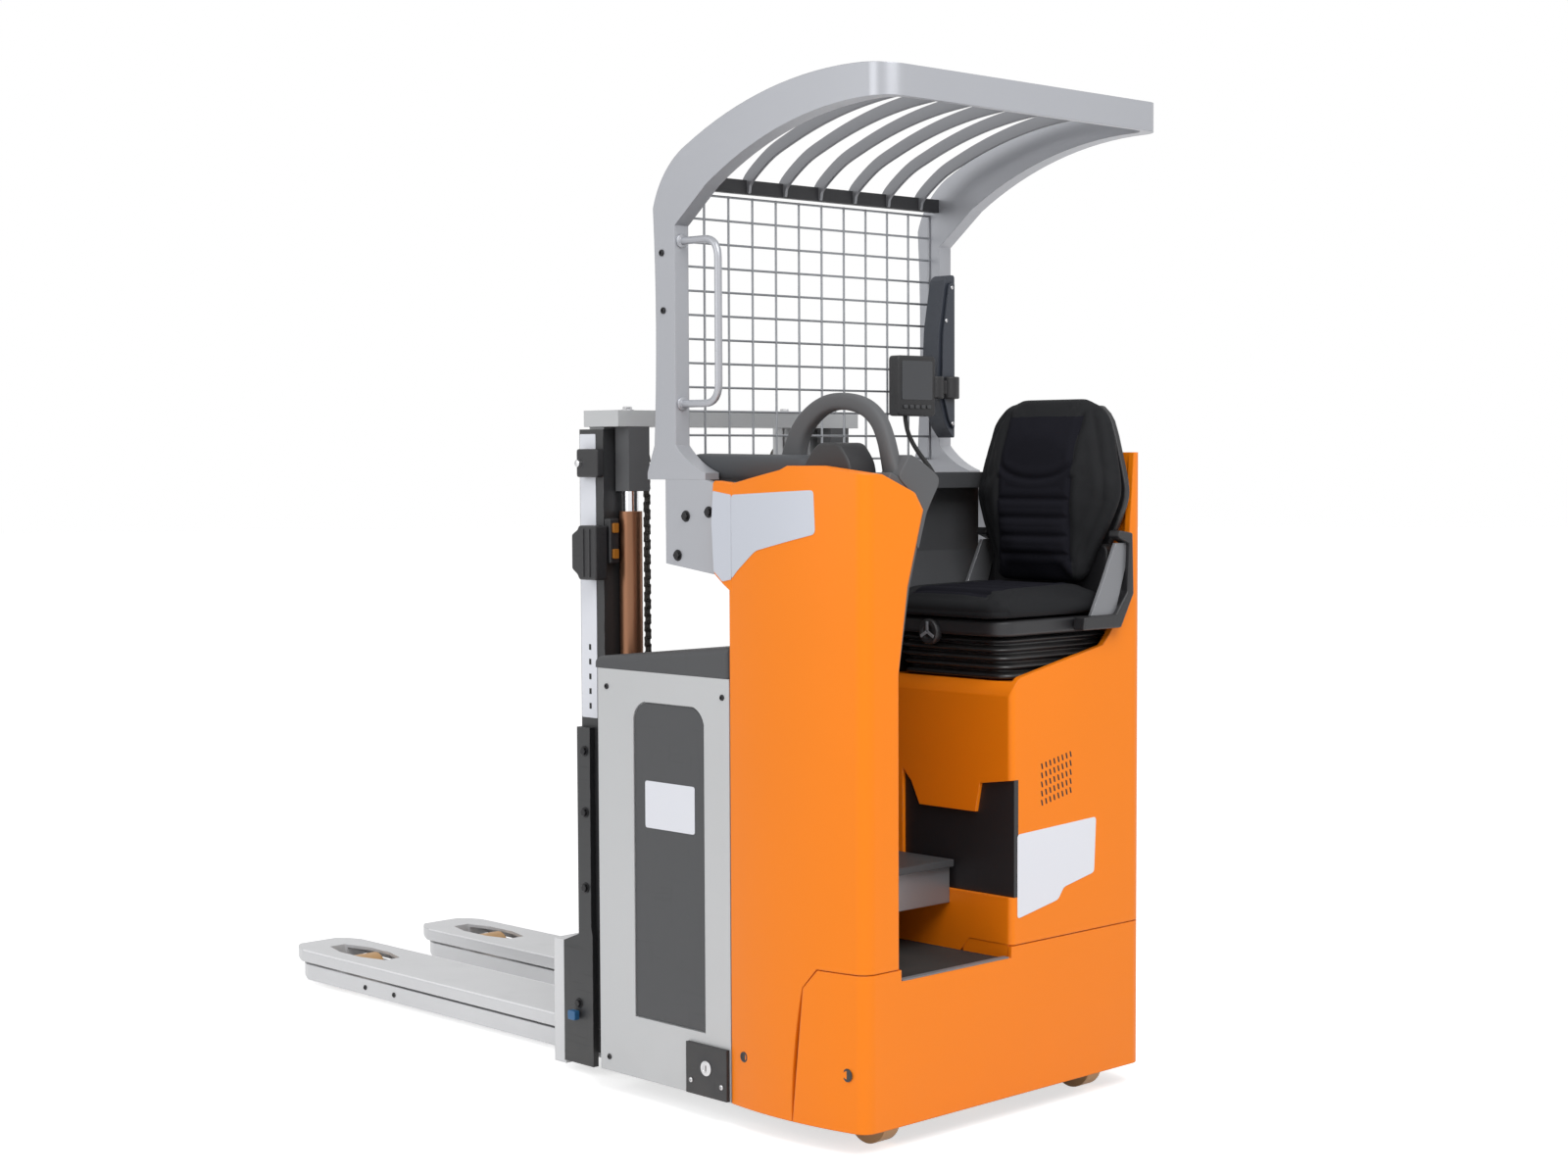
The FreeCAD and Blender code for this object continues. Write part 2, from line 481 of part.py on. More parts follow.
def battery_bay():
    """Frame floor with the mast beam, the battery as one block, and the removable side panels."""
    inner = "side_half - panel_thick"
    top = "panel_top - turn_gap"
    floor = box("body_front", "battery_front", f"-({inner})", inner, "floor_low", "floor_low + floor_thick")
    walls = [box(low, f"{low} + floor_thick", f"-({inner})", inner, "floor_low", top)
             for low in ("body_front", "battery_front - floor_thick")]
    beam = box("battery_front - 1", "beam_front", "-beam_half", "beam_half", "floor_low", "beam_top")
    keep(join(floor, *walls, beam), "main_frame")
    keep(box("body_front + floor_thick + cell_gap", "battery_front - floor_thick - cell_gap",
             f"-({inner} - cell_gap)", f"{inner} - cell_gap", "floor_low + floor_thick",
             "panel_top - cell_gap"), "battery")
    panel = prism("side", inner, "side_half", [
        ("battery_back", "skirt_low"), ("battery_front", "skirt_low"), ("battery_front", top),
        ("battery_back", top)])
    rounded(panel, "panel_corner", lambda edge: runs(edge, Vector(0, 0, 1)) and (
        edge.BoundBox.XMin > mm("battery_front") - 1 and edge.BoundBox.YMin > mm("side_half") - 1))
    inset = window("inset_back", "inset_front", "inset_low", "inset_top", "inset_corner")
    pocket = prism("side", "side_half - inset_depth", "side_half + 1", inset)
    keep(both(without(panel, pocket)), "battery_panels")
    plate = prism("side", "side_half - inset_depth", "side_half - inset_depth + inset_plate",
                  window("inset_back + seam", "inset_front - seam", "inset_low + seam",
                         "inset_top - seam", "inset_corner"))
    keep(both(plate), "inset_panels")
    lock = box("battery_back + 2 * seam", "lock_front", "side_half", "side_half + lock_thick",
               "skirt_low + seam", "lock_top")
    keep(lock, "battery_lock")


def window(back, front, low, top, corner):
    """Outline with square lower corners and rounded upper ones."""
    bow = f"({corner}) * 0.2071"
    return [(back, low), (front, low), (front, f"({top}) - ({corner})", bow),
            (f"({front}) - ({corner})", top), (f"({back}) + ({corner})", top, bow),
            (back, f"({top}) - ({corner})")]


def battery_lid():
    """Wedge lid over the battery; its rounded upper rear edge lies on the hinge line."""
    back, front = "battery_back + lid_seam", "battery_front - lid_lip"
    lid = prism("side", "-side_half", "side_half", [
        (back, "panel_top"), (front, "panel_top"), (front, "lid_top_front"), (back, "lid_top_back")])
    rounded(lid, "lid_hinge_edge", lambda edge: (
        edge.BoundBox.ZMin > mm("lid_top_back") - 1 and runs(edge, Vector(0, 1, 0))))
    front_edge = mm(front) - 1
    rounded(lid, "lid_corner", lambda edge: (
        edge.BoundBox.ZMin > mm("lid_top_front") - 1 and edge.BoundBox.XMax > front_edge))
    keep(lid, "battery_lid")


def outer_mast():
    """Fixed mast: two channels that open inwards, tied behind, with foot plates and lift cylinders."""
    back, front, half, wall = "mast_back", "mast_front", "mast_half", "mast_wall"
    column = prism("top", "beam_top", "mast_top", [
        (back, half), (back, "mast_in"), (f"{back} + {wall}", "mast_in"),
        (f"{back} + {wall}", f"{half} - {wall}"), (f"{front} - {wall}", f"{half} - {wall}"),
        (f"{front} - {wall}", "mast_in"), (front, "mast_in"), (front, half)])
    tie = box(back, f"{back} + {wall}", f"-{half}", half, "outer_tie_low", "outer_tie_high")
    anchor = box(back, "pulley_at - pulley_radius", "pulley_side - chain_width / 2 - anchor_rim",
                 "pulley_side + chain_width / 2 + anchor_rim", "outer_tie_high - anchor_depth",
                 "outer_tie_high")
    keep(join(both(join(column, anchor)), tie), "mast_outer")
    plate = prism("side", half, f"{half} + foot_plate", [
        ("foot_back - foot_heel", "foot_low"), ("foot_front", "foot_low"), ("foot_front", "foot_step"),
        (front, "foot_step + foot_slope"), (front, "foot_top"), ("foot_back", "foot_top"),
        ("foot_back", "foot_step + 2 * foot_slope"), ("foot_back - foot_heel", "foot_step + foot_slope")])
    keep(both(plate), "mast_foot_plates")
    cover = prism("side", half, f"{half} + cover_deep", [
        (f"{back} - cover_back", "box_low"), (f"{front} + cover_front - cover_bevel", "box_low"),
        (f"{front} + cover_front", "box_low + cover_bevel"),
        (f"{front} + cover_front", "box_top - cover_bevel"),
        (f"{front} + cover_front - cover_bevel", "box_top"), (f"{back} - cover_back", "box_top")])
    keep(both(cover), "mast_boxes")
    tube = rod("z", "cylinder_radius", "beam_top", "cylinder_top", "cylinder_at", "cylinder_side")
    bore = rod("z", "rod_radius + rod_gap", "beam_top + cylinder_floor", "cylinder_top + 1", "cylinder_at",
               "cylinder_side")
    keep(both(without(tube, bore)), "lift_cylinders")


def inner_mast():
    """Rising mast: two inner channels, the top tie over the rods, and the chain wheels."""
    back, front = "mast_back + mast_wall + slide_gap", "mast_front - mast_wall - slide_gap"
    out, wall, low = "mast_half - mast_wall - slide_gap", "inner_wall", "beam_top + slide_gap"
    column = prism("top", low, "mast_top + slide_gap", [
        (back, out), (back, "inner_in"), (f"{back} + {wall}", "inner_in"),
        (f"{back} + {wall}", f"{out} - {wall}"), (f"{front} - {wall}", f"{out} - {wall}"),
        (f"{front} - {wall}", "inner_in"), (front, "inner_in"), (front, out)])
    tie = box("tie_back", front, "-mast_half", "mast_half", "mast_top + slide_gap", "tie_top")
    low_tie = box(f"{front} - {wall}", front, f"-({out})", out, low, f"{low} + inner_tie")
    near, far = "pulley_side - pulley_width / 2 - hanger_gap", "pulley_side + pulley_width / 2 + hanger_gap"
    hangers = [box("pulley_at - hanger_half", "pulley_at + hanger_half", inner, outer,
                   "pulley_height - hanger_half", "mast_top + slide_gap + 1")
               for inner, outer in ((f"{near} - hanger_thick", near), (far, f"{far} + hanger_thick"))]
    pin = rod("y", "pulley_pin", f"{near} - hanger_thick", f"{far} + hanger_thick", "pulley_at",
              "pulley_height")
    keep(join(both(join(column, *hangers, pin)), tie, low_tie), "mast_inner")
    keep(both(rod("z", "rod_radius", "cylinder_top - rod_length", "mast_top + slide_gap", "cylinder_at",
                  "cylinder_side")), "lift_rods")
    wheel = rod("y", "pulley_radius", "pulley_side - pulley_width / 2", "pulley_side + pulley_width / 2",
                "pulley_at", "pulley_height")
    eye = rod("y", "pulley_pin + running_gap", "pulley_side - pulley_width", "pulley_side + pulley_width",
              "pulley_at", "pulley_height")
    near, far = "pulley_side - chain_width / 2", "pulley_side + chain_width / 2"
    over = rod("y", "pulley_radius + chain_thick", near, far, "pulley_at", "pulley_height")
    upper = box("pulley_at - 2 * pulley_radius", "pulley_at + 2 * pulley_radius", near, far,
                "pulley_height + running_gap", "pulley_height + 2 * pulley_radius")
    wrap = shared(over, upper)
    keep(both(without(join(wheel, wrap), eye)), "chain_wheels")
    head = box("cylinder_at - cylinder_radius", "mast_back - slide_gap", "cylinder_side - head_in",
               "cylinder_side + cylinder_radius", "cylinder_top + rod_show", "mast_top + slide_gap")
    socket = rod("z", "rod_radius", "cylinder_top", "mast_top + 2 * slide_gap", "cylinder_at",
                 "cylinder_side")
    keep(both(without(head, socket)), "rod_heads")


def leaf_chain(station, low, high):
    """One strand of leaf chain: a waisted link repeated up its length, as one solid."""
    count = math.floor(mm(f"({high}) - ({low})") / mm("chain_pitch"))
    link = f"(({high}) - ({low})) / {count}"
    waist, wide = "chain_waist / 2", "chain_thick / 2"
    strand = prism("side", "pulley_side - chain_width / 2", "pulley_side + chain_width / 2", [
        (f"{station} - {waist}", low), (f"{station} + {waist}", low),
        (f"{station} + {wide}", f"{low} + {link} / 2"), (f"{station} + {waist}", f"{low} + {link}"),
        (f"{station} - {waist}", f"{low} + {link}"), (f"{station} - {wide}", f"{low} + {link} / 2")])
    first = strand.Tip
    links = strand.newObject("PartDesign::LinearPattern", "Links")
    links.Originals = [first]
    links.Direction = (next(item for item in strand.Origin.OriginFeatures if item.Role == "Z_Axis"), [""])
    links.setExpression("Length", bound(f"({high}) - ({low}) - {link}"))
    links.Occurrences = count
    strand.Tip = links
    doc.recompute()
    return strand


def lift_chains():
    """Leaf chains: from the outer tie up behind the chain wheels, and down in front to the carriage."""
    reach = "(pulley_radius + chain_thick / 2 + running_gap)"
    keep(both(leaf_chain(f"(pulley_at - {reach})", "outer_tie_high", "pulley_height")), "chains_rear")
    keep(both(leaf_chain(f"(pulley_at + {reach})", "carriage_top", "pulley_height")), "chains_front")


def carriage():
    """Fork carriage: face plate, cheeks with guide rolls inside the inner mast, and chain lugs."""
    plate = box("carriage_back", "carriage_front", "-fork_out", "fork_out", "carriage_low", "foot_step")
    upper = box("carriage_back", "carriage_front", "-cheek_out", "cheek_out", "foot_step - 1",
                "carriage_top - carriage_step")
    cheek_low = "beam_top + inner_tie + 2 * slide_gap"
    cheek = box("mast_back + mast_wall + slide_gap", "carriage_back + 1", "cheek_out - cheek_thick",
                "cheek_out", cheek_low, "carriage_top")
    track, end = "(mast_back + mast_front) / 2", "mast_half - mast_wall - 2 * slide_gap - inner_wall"
    room = "(mast_front - mast_back) / 2 - mast_wall - 2 * slide_gap - inner_wall"
    rolls = [rod("y", room, "cheek_out - 1", end, track, height)
             for height in (f"{cheek_low} + roll_inset", "carriage_top - roll_drop")]
    lug = box("pulley_at + lug_back", "carriage_back + 1", "pulley_side - lug_half", "cheek_out - 1",
              "carriage_top - lug_depth", "carriage_top")
    keep(join(plate, upper, both(join(cheek, *rolls, lug))), "fork_carriage")


def tine(low, top, back, front, ramp):
    """Channel tine, open below: nose bowed in plan and ramped under, plate on top, two side walls."""
    middle = "(fork_in + fork_out) / 2"
    plan = prism("top", low, top, [
        (back, "fork_in"), (f"{front} - nose_length", "fork_in", "nose_bow"), (front, f"{middle} - nose_in"),
        (front, f"{middle} + nose_in", "nose_bow"), (f"{front} - nose_length", "fork_out"),
        (back, "fork_out")])
    nose = prism("side", "fork_in - 1", "fork_out + 1", [
        (back, low), (f"{front} - nose_length", low), (front, f"{top} - {ramp}"),
        (front, f"{top} - fork_edge"), (f"{front} - fork_edge", top), (back, top)])
    channel = box(f"{back} - 1", f"{front} - nose_length - web_behind", "fork_in + fork_plate",
                  "fork_out - fork_plate", f"{low} - 1", f"{top} - fork_plate")
    narrow, wide, room = "slot_end / 2", "slot_width / 2", "roller_radius + slot_room"
    slot = prism("top", f"{low} - 1", f"{top} + 1", [
        (f"roller_at {along}", f"{middle} {across}") for along, across in (
            ("- slot_half", f"- {narrow}"), (f"- ({room})", f"- {wide}"), (f"+ {room}", f"- {wide}"),
            ("+ slot_half", f"- {narrow}"), ("+ slot_half", f"+ {narrow}"), (f"+ {room}", f"+ {wide}"),
            (f"- ({room})", f"+ {wide}"), ("- slot_half", f"+ {narrow}"))])
    return without(shared(plan, nose), channel, slot)


def forks():
    """Two lift forks with their shanks on the carriage."""
    blade = tine("fork_low", "fork_top", "carriage_front", "fork_tip", "fork_ramp")
    shank = box("carriage_front", "fork_front", "fork_in", "fork_out", "fork_top - 1", "foot_step")
    keep(both(join(blade, shank)), "forks")


def load_arms():
    """Two fixed load arms under the forks, each with its root plate and roller pin."""
    arm = tine("arm_low", "arm_top", "beam_front - arm_lap", "fork_tip - arm_set_back", "arm_ramp")
    inner = "fork_out + arm_root_gap"
    foot = box("foot_front", "fork_front", "fork_out - 1", "arm_root_out", "arm_low", "arm_top")
    root = box("foot_front", "fork_front", inner, "arm_root_out", "arm_top - 1", "foot_step")
    pin = rod("y", "roller_pin", "fork_in", "fork_out", "roller_at", "roller_radius")
    keep(both(join(arm, foot, root, pin)), "load_arms")


def wheel(label, radius, width, pin, station, side, height):
    """Plain wheel with a bore that runs on its pin."""
    disc = rod("y", radius, f"{side} - {width} / 2", f"{side} + {width} / 2", station, height)
    bore = rod("y", f"{pin} + running_gap", f"{side} - {width}", f"{side} + {width}", station, height)
    keep(without(disc, bore), label)


def load_rollers():
    """Tan rollers near the tips of the load arms."""
    for label, sign in (("load_roller_left", "1"), ("load_roller_right", "-1")):
        wheel(label, "roller_radius", "roller_width", "roller_pin", "roller_at",
              f"{sign} * (fork_in + fork_out) / 2", "roller_radius")


def yoke_cheek(low, high, station, trail, half, top, axle):
    """Side plate of a wheel yoke: wide under the crown and bevelled below the axle."""
    return prism("side", low, high, [
        (f"{station} - {trail} - {half} / 3", f"{axle} - {half} / 2"),
        (f"{station} - {trail} + {half} / 3", f"{axle} - {half} / 2"),
        (f"{station} - {trail} + {half} * 2 / 3", axle), (f"{station} + {half}", top),
        (f"{station} - {trail} - {half}", top), (f"{station} - {trail} - {half} * 2 / 3", axle)])


def drive():
    """Steered drive unit under the chassis plate and its wheel."""
    crown = rod("z", "drive_crown", "crown_low", "plate_top - plate_thick - turn_gap", "drive_at", "0")
    inner = "drive_width / 2 + cheek_gap"
    cheek = yoke_cheek(inner, f"{inner} + drive_cheek", "drive_at", "0", "drive_cheek_half", "crown_low + 1",
                       "drive_radius")
    low, bevel = "crown_low - 2 * drive_cheek_half", "drive_cheek_half / 2"
    gearbox = prism("side", f"{inner} + drive_cheek - 1", f"{inner} + drive_cheek + gear_depth", [
        (f"drive_at - {bevel}", low), (f"drive_at + {bevel}", low),
        ("drive_at + drive_cheek_half", f"{low} + {bevel}"), ("drive_at + drive_cheek_half", "crown_low"),
        ("drive_at - drive_cheek_half", "crown_low"), ("drive_at - drive_cheek_half", f"{low} + {bevel}")])
    pin = rod("y", "drive_pin", f"-({inner} + drive_cheek)", f"{inner} + drive_cheek", "drive_at",
              "drive_radius")
    keep(join(both(cheek), gearbox, crown, pin), "drive_unit")
    wheel("drive_wheel", "drive_radius", "drive_width", "drive_pin", "drive_at", "0", "drive_radius")


def castors():
    """Two trailing castors at the rear corners."""
    for name, side in (("left", "(side_half - castor_inset)"), ("right", "-(side_half - castor_inset)")):
        reach = "(castor_width / 2 + castor_gap)"
        crown = rod("z", "castor_stem", "castor_head", "castor_head + castor_crown", "castor_at", side)
        cheeks = [yoke_cheek(low, high, "castor_at", "castor_trail", "castor_cheek_half", "castor_head + 1",
                             "castor_radius")
                  for low, high in ((f"{side} + {reach}", f"{side} + {reach} + castor_cheek"),
                                    (f"{side} - {reach} - castor_cheek", f"{side} - {reach}"))]
        pin = rod("y", "castor_pin", f"{side} - {reach} - castor_cheek", f"{side} + {reach} + castor_cheek",
                  "castor_at - castor_trail", "castor_radius")
        keep(join(crown, *cheeks, pin), f"castor_fork_{name}")
        wheel(f"castor_wheel_{name}", "castor_radius", "castor_width", "castor_pin",
              "castor_at - castor_trail", side, "castor_radius")


def guard_plan(inset, wall, corner):
    """Plan of the guard, rounded at its two rear corners, inset by a side depth and a rear wall."""
    rear, half = f"-(guard_tail - {wall})", f"(guard_half - {inset})"
    plan = prism("top", "upright_low - 1", "guard_top + 1", [
        (rear, f"-{half}"), ("foot_front_flare + 1", f"-{half}"), ("foot_front_flare + 1", half),
        (rear, half)])
    at_rear = mm(rear) + 1
    return rounded(plan, corner, lambda edge: runs(edge, Vector(0, 0, 1)) and edge.BoundBox.XMax < at_rear)


def overhead_guard():
    """Guard of bent plate round three sides, its roof bars, cross bar, foot brackets and grab handle."""
    roof_rise = "guard_top - guard_tail * 2"
    profile = prism("side", "-guard_half", "guard_half", [
        ("foot_back_flare", "upright_low"), ("foot_front_flare", "upright_low"),
        ("foot_front_flare", "upright_low + foot_rim"), ("upright_front", "flare_top", "-flare_bow"),
        ("upright_front", "guard_top - guard_bend_drop", "bend_bow"),
        ("brow_station", roof_rise, "roof_bow"), ("roof_back", "guard_top"),
        ("-guard_tail", "guard_top - roof_fall"),
        ("-guard_tail", "guard_top - member_depth"),
        ("-roof_back", "guard_top - member_depth", "-roof_bow"), ("soffit_front", "guard_top - soffit_drop"),
        ("upright_back", "guard_top - upright_drop"), ("upright_back", "flare_top", "-flare_bow"),
        ("foot_back_flare", "upright_low + foot_rim")])
    ring = without(guard_plan("0", "0", "guard_corner"),
                   guard_plan("guard_depth", "band_thick", "guard_corner - band_thick"))
    keep(shared(profile, ring), "guard_frame")
    bars = []
    for number in range(int(mm("bar_count"))):
        side = f"({number} - (bar_count - 1) / 2) * bar_pitch"
        bars.append(prism("side", f"{side} - bar_thick / 2", f"{side} + bar_thick / 2", [
            ("cross_back", "guard_top - cross_drop"), ("cross_back", "guard_top - cross_drop + bar_nose"),
            ("brow_station", f"{roof_rise} - roof_fall", "roof_bow"), ("roof_back", "guard_top - roof_fall"),
            ("-(guard_tail - band_thick)", "guard_top - 2 * roof_fall"),
            ("-(guard_tail - band_thick)", "guard_top - bar_depth - roof_fall"),
            ("roof_back", "guard_top - bar_depth"), ("soffit_middle", "guard_top - bar_depth - roof_bow / 2"),
            ("soffit_front", "guard_top - bar_nose * 3")]))
    keep(join(*bars), "roof_bars")
    keep(box("cross_back", "cross_front", "-(guard_half - guard_depth)", "guard_half - guard_depth",
             "guard_top - cross_drop", "guard_top - cross_drop + cross_depth"), "cross_bar")
    bracket = prism("side", "guard_half - bracket_thick", "guard_half", [
        ("pillar_nose", "bracket_low + bracket_slope"), ("bracket_toe", "bracket_low"),
        ("bracket_front", "bracket_low + bracket_rise"), ("bracket_front", "upright_low"),
        ("foot_back_flare", "upright_low"), ("pillar_nose", "upright_low - bracket_rise")])
    keep(both(bracket), "guard_brackets")
    side, high = "guard_half - guard_depth / 2", "(guard_top - guard_bend_drop - handle_drop)"
    grip, reach = "handle_thick / 2", "handle_reach"
    handle = prism("side", f"{side} - {grip}", f"{side} + {grip}", [
        (f"{reach} - {grip}", f"handle_low - {grip}"), ("upright_back", f"handle_low - {grip}"),
        ("upright_back", f"handle_low + {grip}"), (f"{reach} + {grip}", f"handle_low + {grip}"),
        (f"{reach} + {grip}", f"{high} - {grip}"), ("upright_back", f"{high} - {grip}"),
        ("upright_back", f"{high} + {grip}"), (f"{reach} - {grip}", f"{high} + {grip}")])
    rounded(handle, "handle_bend", lambda edge: runs(edge, Vector(0, 1, 0)) and (
        edge.BoundBox.XMax < mm(f"{reach}")))
    rounded(handle, "handle_bend - handle_thick", lambda edge: runs(edge, Vector(0, 1, 0)) and (
        abs(edge.BoundBox.XMin - mm(f"{reach} + {grip}")) < 1))
    keep(bevelled(handle, "handle_bevel", lambda edge: edge.BoundBox.YLength < 1 and (
        edge.BoundBox.XMin < mm("upright_back") - 1)), "grab_handle")


def mesh():
    """Wire mesh between the uprights: one flat panel with a rectangular hole per cell."""
    half = mm("guard_half - guard_depth")
    low, high = mm("mesh_low"), mm("guard_top - cross_drop - mesh_seam")
    wire, columns, rows = mm("mesh_wire"), int(mm("mesh_columns")), int(mm("mesh_rows"))
    cell_wide = (2 * half - (columns + 1) * wire) / columns
    cell_high = (high - low - (rows + 1) * wire) / rows
    station = mm("mesh_at")

    def rectangle(y_low, z_low, wide, tall):
        corners = [(y_low, z_low), (y_low + wide, z_low), (y_low + wide, z_low + tall), (y_low, z_low + tall)]
        return Part.makePolygon([Vector(station, y, z) for y, z in corners + corners[:1]])

    holes = [rectangle(-half + wire + column * (cell_wide + wire), low + wire + line * (cell_high + wire),
                       cell_wide, cell_high) for column in range(columns) for line in range(rows)]
    panel = doc.addObject("Part::Feature", "Mesh")
    outer = rectangle(-half, low, 2 * half, high - low)
    panel.Shape = Part.makeFace([outer, *holes], "Part::FaceMakerBullseye").extrude(Vector(wire, 0, 0))
    keep(panel, "guard_mesh")


def terminal():
    """Dark driver's terminal on its arm, and the long cover on the right upright."""
    rail = "-(guard_half - guard_depth)"
    screen = box("screen_at", "screen_at + screen_thick", "-screen_out", "-screen_in", "screen_low",
                 "screen_top")
    arm = box("screen_at + arm_skin", "screen_at + screen_thick - arm_skin", rail, "-screen_out + 1",
              "screen_low + arm_rise", "screen_low + arm_rise + arm_depth")
    cover = prism("rear", "screen_at + arm_skin", "upright_back", [
        (rail, "cover_low"), ("-cover_in - cover_swell / 2", "cover_low + 2 * cover_swell"),
        ("-cover_in + cover_swell / 2", "cover_low + (cover_top - cover_low) / 3"),
        ("-cover_in", "cover_low + (cover_top - cover_low) * 2 / 3"),
        ("-cover_in - cover_swell", "cover_top"), (rail, "cover_top")])
    keep(join(screen, arm, cover), "terminal")


def seat():
    """Side-facing driver's seat: suspension base with its knob, cushion, back and hinge plates."""
    wall = "side_half - side_rise"
    base_in, cushion_in = f"-({wall} - base_gap)", f"-({wall} - cushion_gap)"
    base = prism("rear", "seat_at - base_half", "seat_at + base_half", [
        (base_in, "pedestal_top"), ("-base_front", "pedestal_top"),
        ("base_front", "pedestal_top + base_rise"), ("base_front", "cushion_low"),
        (f"{cushion_in} + seat_corner / 4", "cushion_low"),
        (base_in, "cushion_low - seat_corner")])
    knob = rod("y", "knob_radius", "base_front - 1", "base_front + knob_reach", "seat_at + knob_off",
               "cushion_low - knob_reach - knob_radius")
    keep(join(base, knob), "seat_base")
    pad = prism("rear", "seat_at - cushion_half", "seat_at + cushion_half", [
        (cushion_in, "cushion_low"), ("cushion_front - cushion_roll / 2", "cushion_low"),
        ("cushion_front", "cushion_low + cushion_roll / 2"),
        ("cushion_front", "cushion_top - cushion_roll / 2", "cushion_roll / 6"),
        ("cushion_front - cushion_roll", "cushion_top"), (cushion_in, "cushion_top")])
    plan = prism("top", "cushion_low", "cushion_top", [
        ("seat_at - cushion_half", cushion_in), ("seat_at + cushion_half", cushion_in),
        ("seat_at + cushion_half", "cushion_front + 1"), ("seat_at - cushion_half", "cushion_front + 1")])
    rounded(plan, "seat_corner", lambda edge: runs(edge, Vector(0, 0, 1)) and edge.BoundBox.YMin > 0)
    keep(shared(pad, plan), "seat_cushion")
    outer, inner = f"-({wall} - back_gap)", f"-({wall} - back_gap - back_depth)"
    lean = prism("rear", "seat_at - shoulder_half - 1", "seat_at + shoulder_half + 1", [
        (outer, "back_low"), (inner, "back_low"), (f"{inner} - back_lean * 2 / 3", "back_top"),
        (f"{outer} - back_lean", "back_top")])
    front = prism("side", f"{outer} - back_lean - 1", f"{inner} + 1", [
        (f"seat_at {sign} {half}", height) for sign, half, height in (
            ("-", "cushion_half", "back_low"), ("+", "cushion_half", "back_low"),
            ("+", "cushion_half", "back_waist"), ("+", "shoulder_half", "back_shoulder"),
            ("+", "crown_half", "back_top"), ("-", "crown_half", "back_top"),
            ("-", "shoulder_half", "back_shoulder"), ("-", "cushion_half", "back_waist"))])
    rounded(front, "seat_corner", lambda edge: runs(edge, Vector(0, 1, 0)) and (
        edge.BoundBox.ZMin > mm("back_waist") + 1))
    keep(shared(lean, front), "seat_back")
    foot, rear = f"-({wall} - hinge_foot)", f"-({wall} - hinge_back)"
    plates = [prism("rear", low, f"{low} + hinge_thick", [
        (foot, "cushion_low"), (f"{foot} - hinge_wide", "cushion_low"), (rear, "back_low + hinge_back"),
        (rear, "hinge_top"), (f"{rear} + hinge_wide / 2", "hinge_top"),
        (f"{foot} - hinge_wide / 2", "cushion_top")])
        for low in ("seat_at - cushion_half - hinge_thick", "seat_at + cushion_half")]
    keep(join(*plates), "seat_hinges")


rear_skirt()
chassis_plate()
console_rail(console_pillar())
seat_pedestal()
footrest()
front_walls()
battery_bay()
battery_lid()
outer_mast()
inner_mast()
lift_chains()
carriage()
forks()
load_arms()
load_rollers()
drive()
castors()
overhead_guard()
mesh()
terminal()
seat()

doc.recompute()
for item in doc.Objects:
    if "Invalid" in item.State or "Error" in item.State:
        raise RuntimeError(f"{item.Name} ({item.Label}) failed: {item.State}")
os.makedirs("parts", exist_ok=True)
for piece in pieces:
    if piece.Shape.isNull() or not piece.Shape.isValid():
        raise RuntimeError(f"{piece.Label} has no valid shape")
    piece.Shape.exportStep(f"parts/{piece.Label}.step")
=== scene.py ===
"""Finishes, small details, seat and studio for the electric forklift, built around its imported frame."""

import json
import math

import bmesh
import bpy
from mathutils import Euler, Matrix, Vector
from mathutils.bvhtree import BVHTree
from mathutils.kdtree import KDTree


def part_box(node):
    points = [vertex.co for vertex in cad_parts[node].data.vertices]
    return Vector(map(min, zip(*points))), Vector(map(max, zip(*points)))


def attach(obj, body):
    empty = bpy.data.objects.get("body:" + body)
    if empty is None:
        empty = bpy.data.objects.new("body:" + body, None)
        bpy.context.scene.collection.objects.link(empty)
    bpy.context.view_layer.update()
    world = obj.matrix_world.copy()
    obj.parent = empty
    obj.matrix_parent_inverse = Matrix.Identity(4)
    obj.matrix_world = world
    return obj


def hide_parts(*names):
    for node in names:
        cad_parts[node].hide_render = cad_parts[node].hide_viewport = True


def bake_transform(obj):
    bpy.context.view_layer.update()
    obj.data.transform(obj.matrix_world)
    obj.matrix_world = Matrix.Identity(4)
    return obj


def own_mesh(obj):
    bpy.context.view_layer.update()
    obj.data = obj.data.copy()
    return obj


bl_info = {
    "name": "Electric Forklift Finish",
    "version": (1, 0, 0),
    "blender": (4, 5, 0),
    "location": "View3D > Sidebar > Forklift",
    "description": "Paint, upholstery, fittings and studio for the packed electric forklift",
    "category": "Object",
}

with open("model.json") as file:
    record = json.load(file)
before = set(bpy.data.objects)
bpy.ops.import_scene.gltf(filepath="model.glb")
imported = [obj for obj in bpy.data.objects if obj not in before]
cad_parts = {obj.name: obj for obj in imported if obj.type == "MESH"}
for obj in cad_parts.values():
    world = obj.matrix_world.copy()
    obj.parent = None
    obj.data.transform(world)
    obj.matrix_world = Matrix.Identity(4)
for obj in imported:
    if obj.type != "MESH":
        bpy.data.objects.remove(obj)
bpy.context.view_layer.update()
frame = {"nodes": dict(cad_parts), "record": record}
# the rear face of the body, from which the truck's stations are measured forwards
REAR_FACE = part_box("rear_skirt")[0].x


# settings

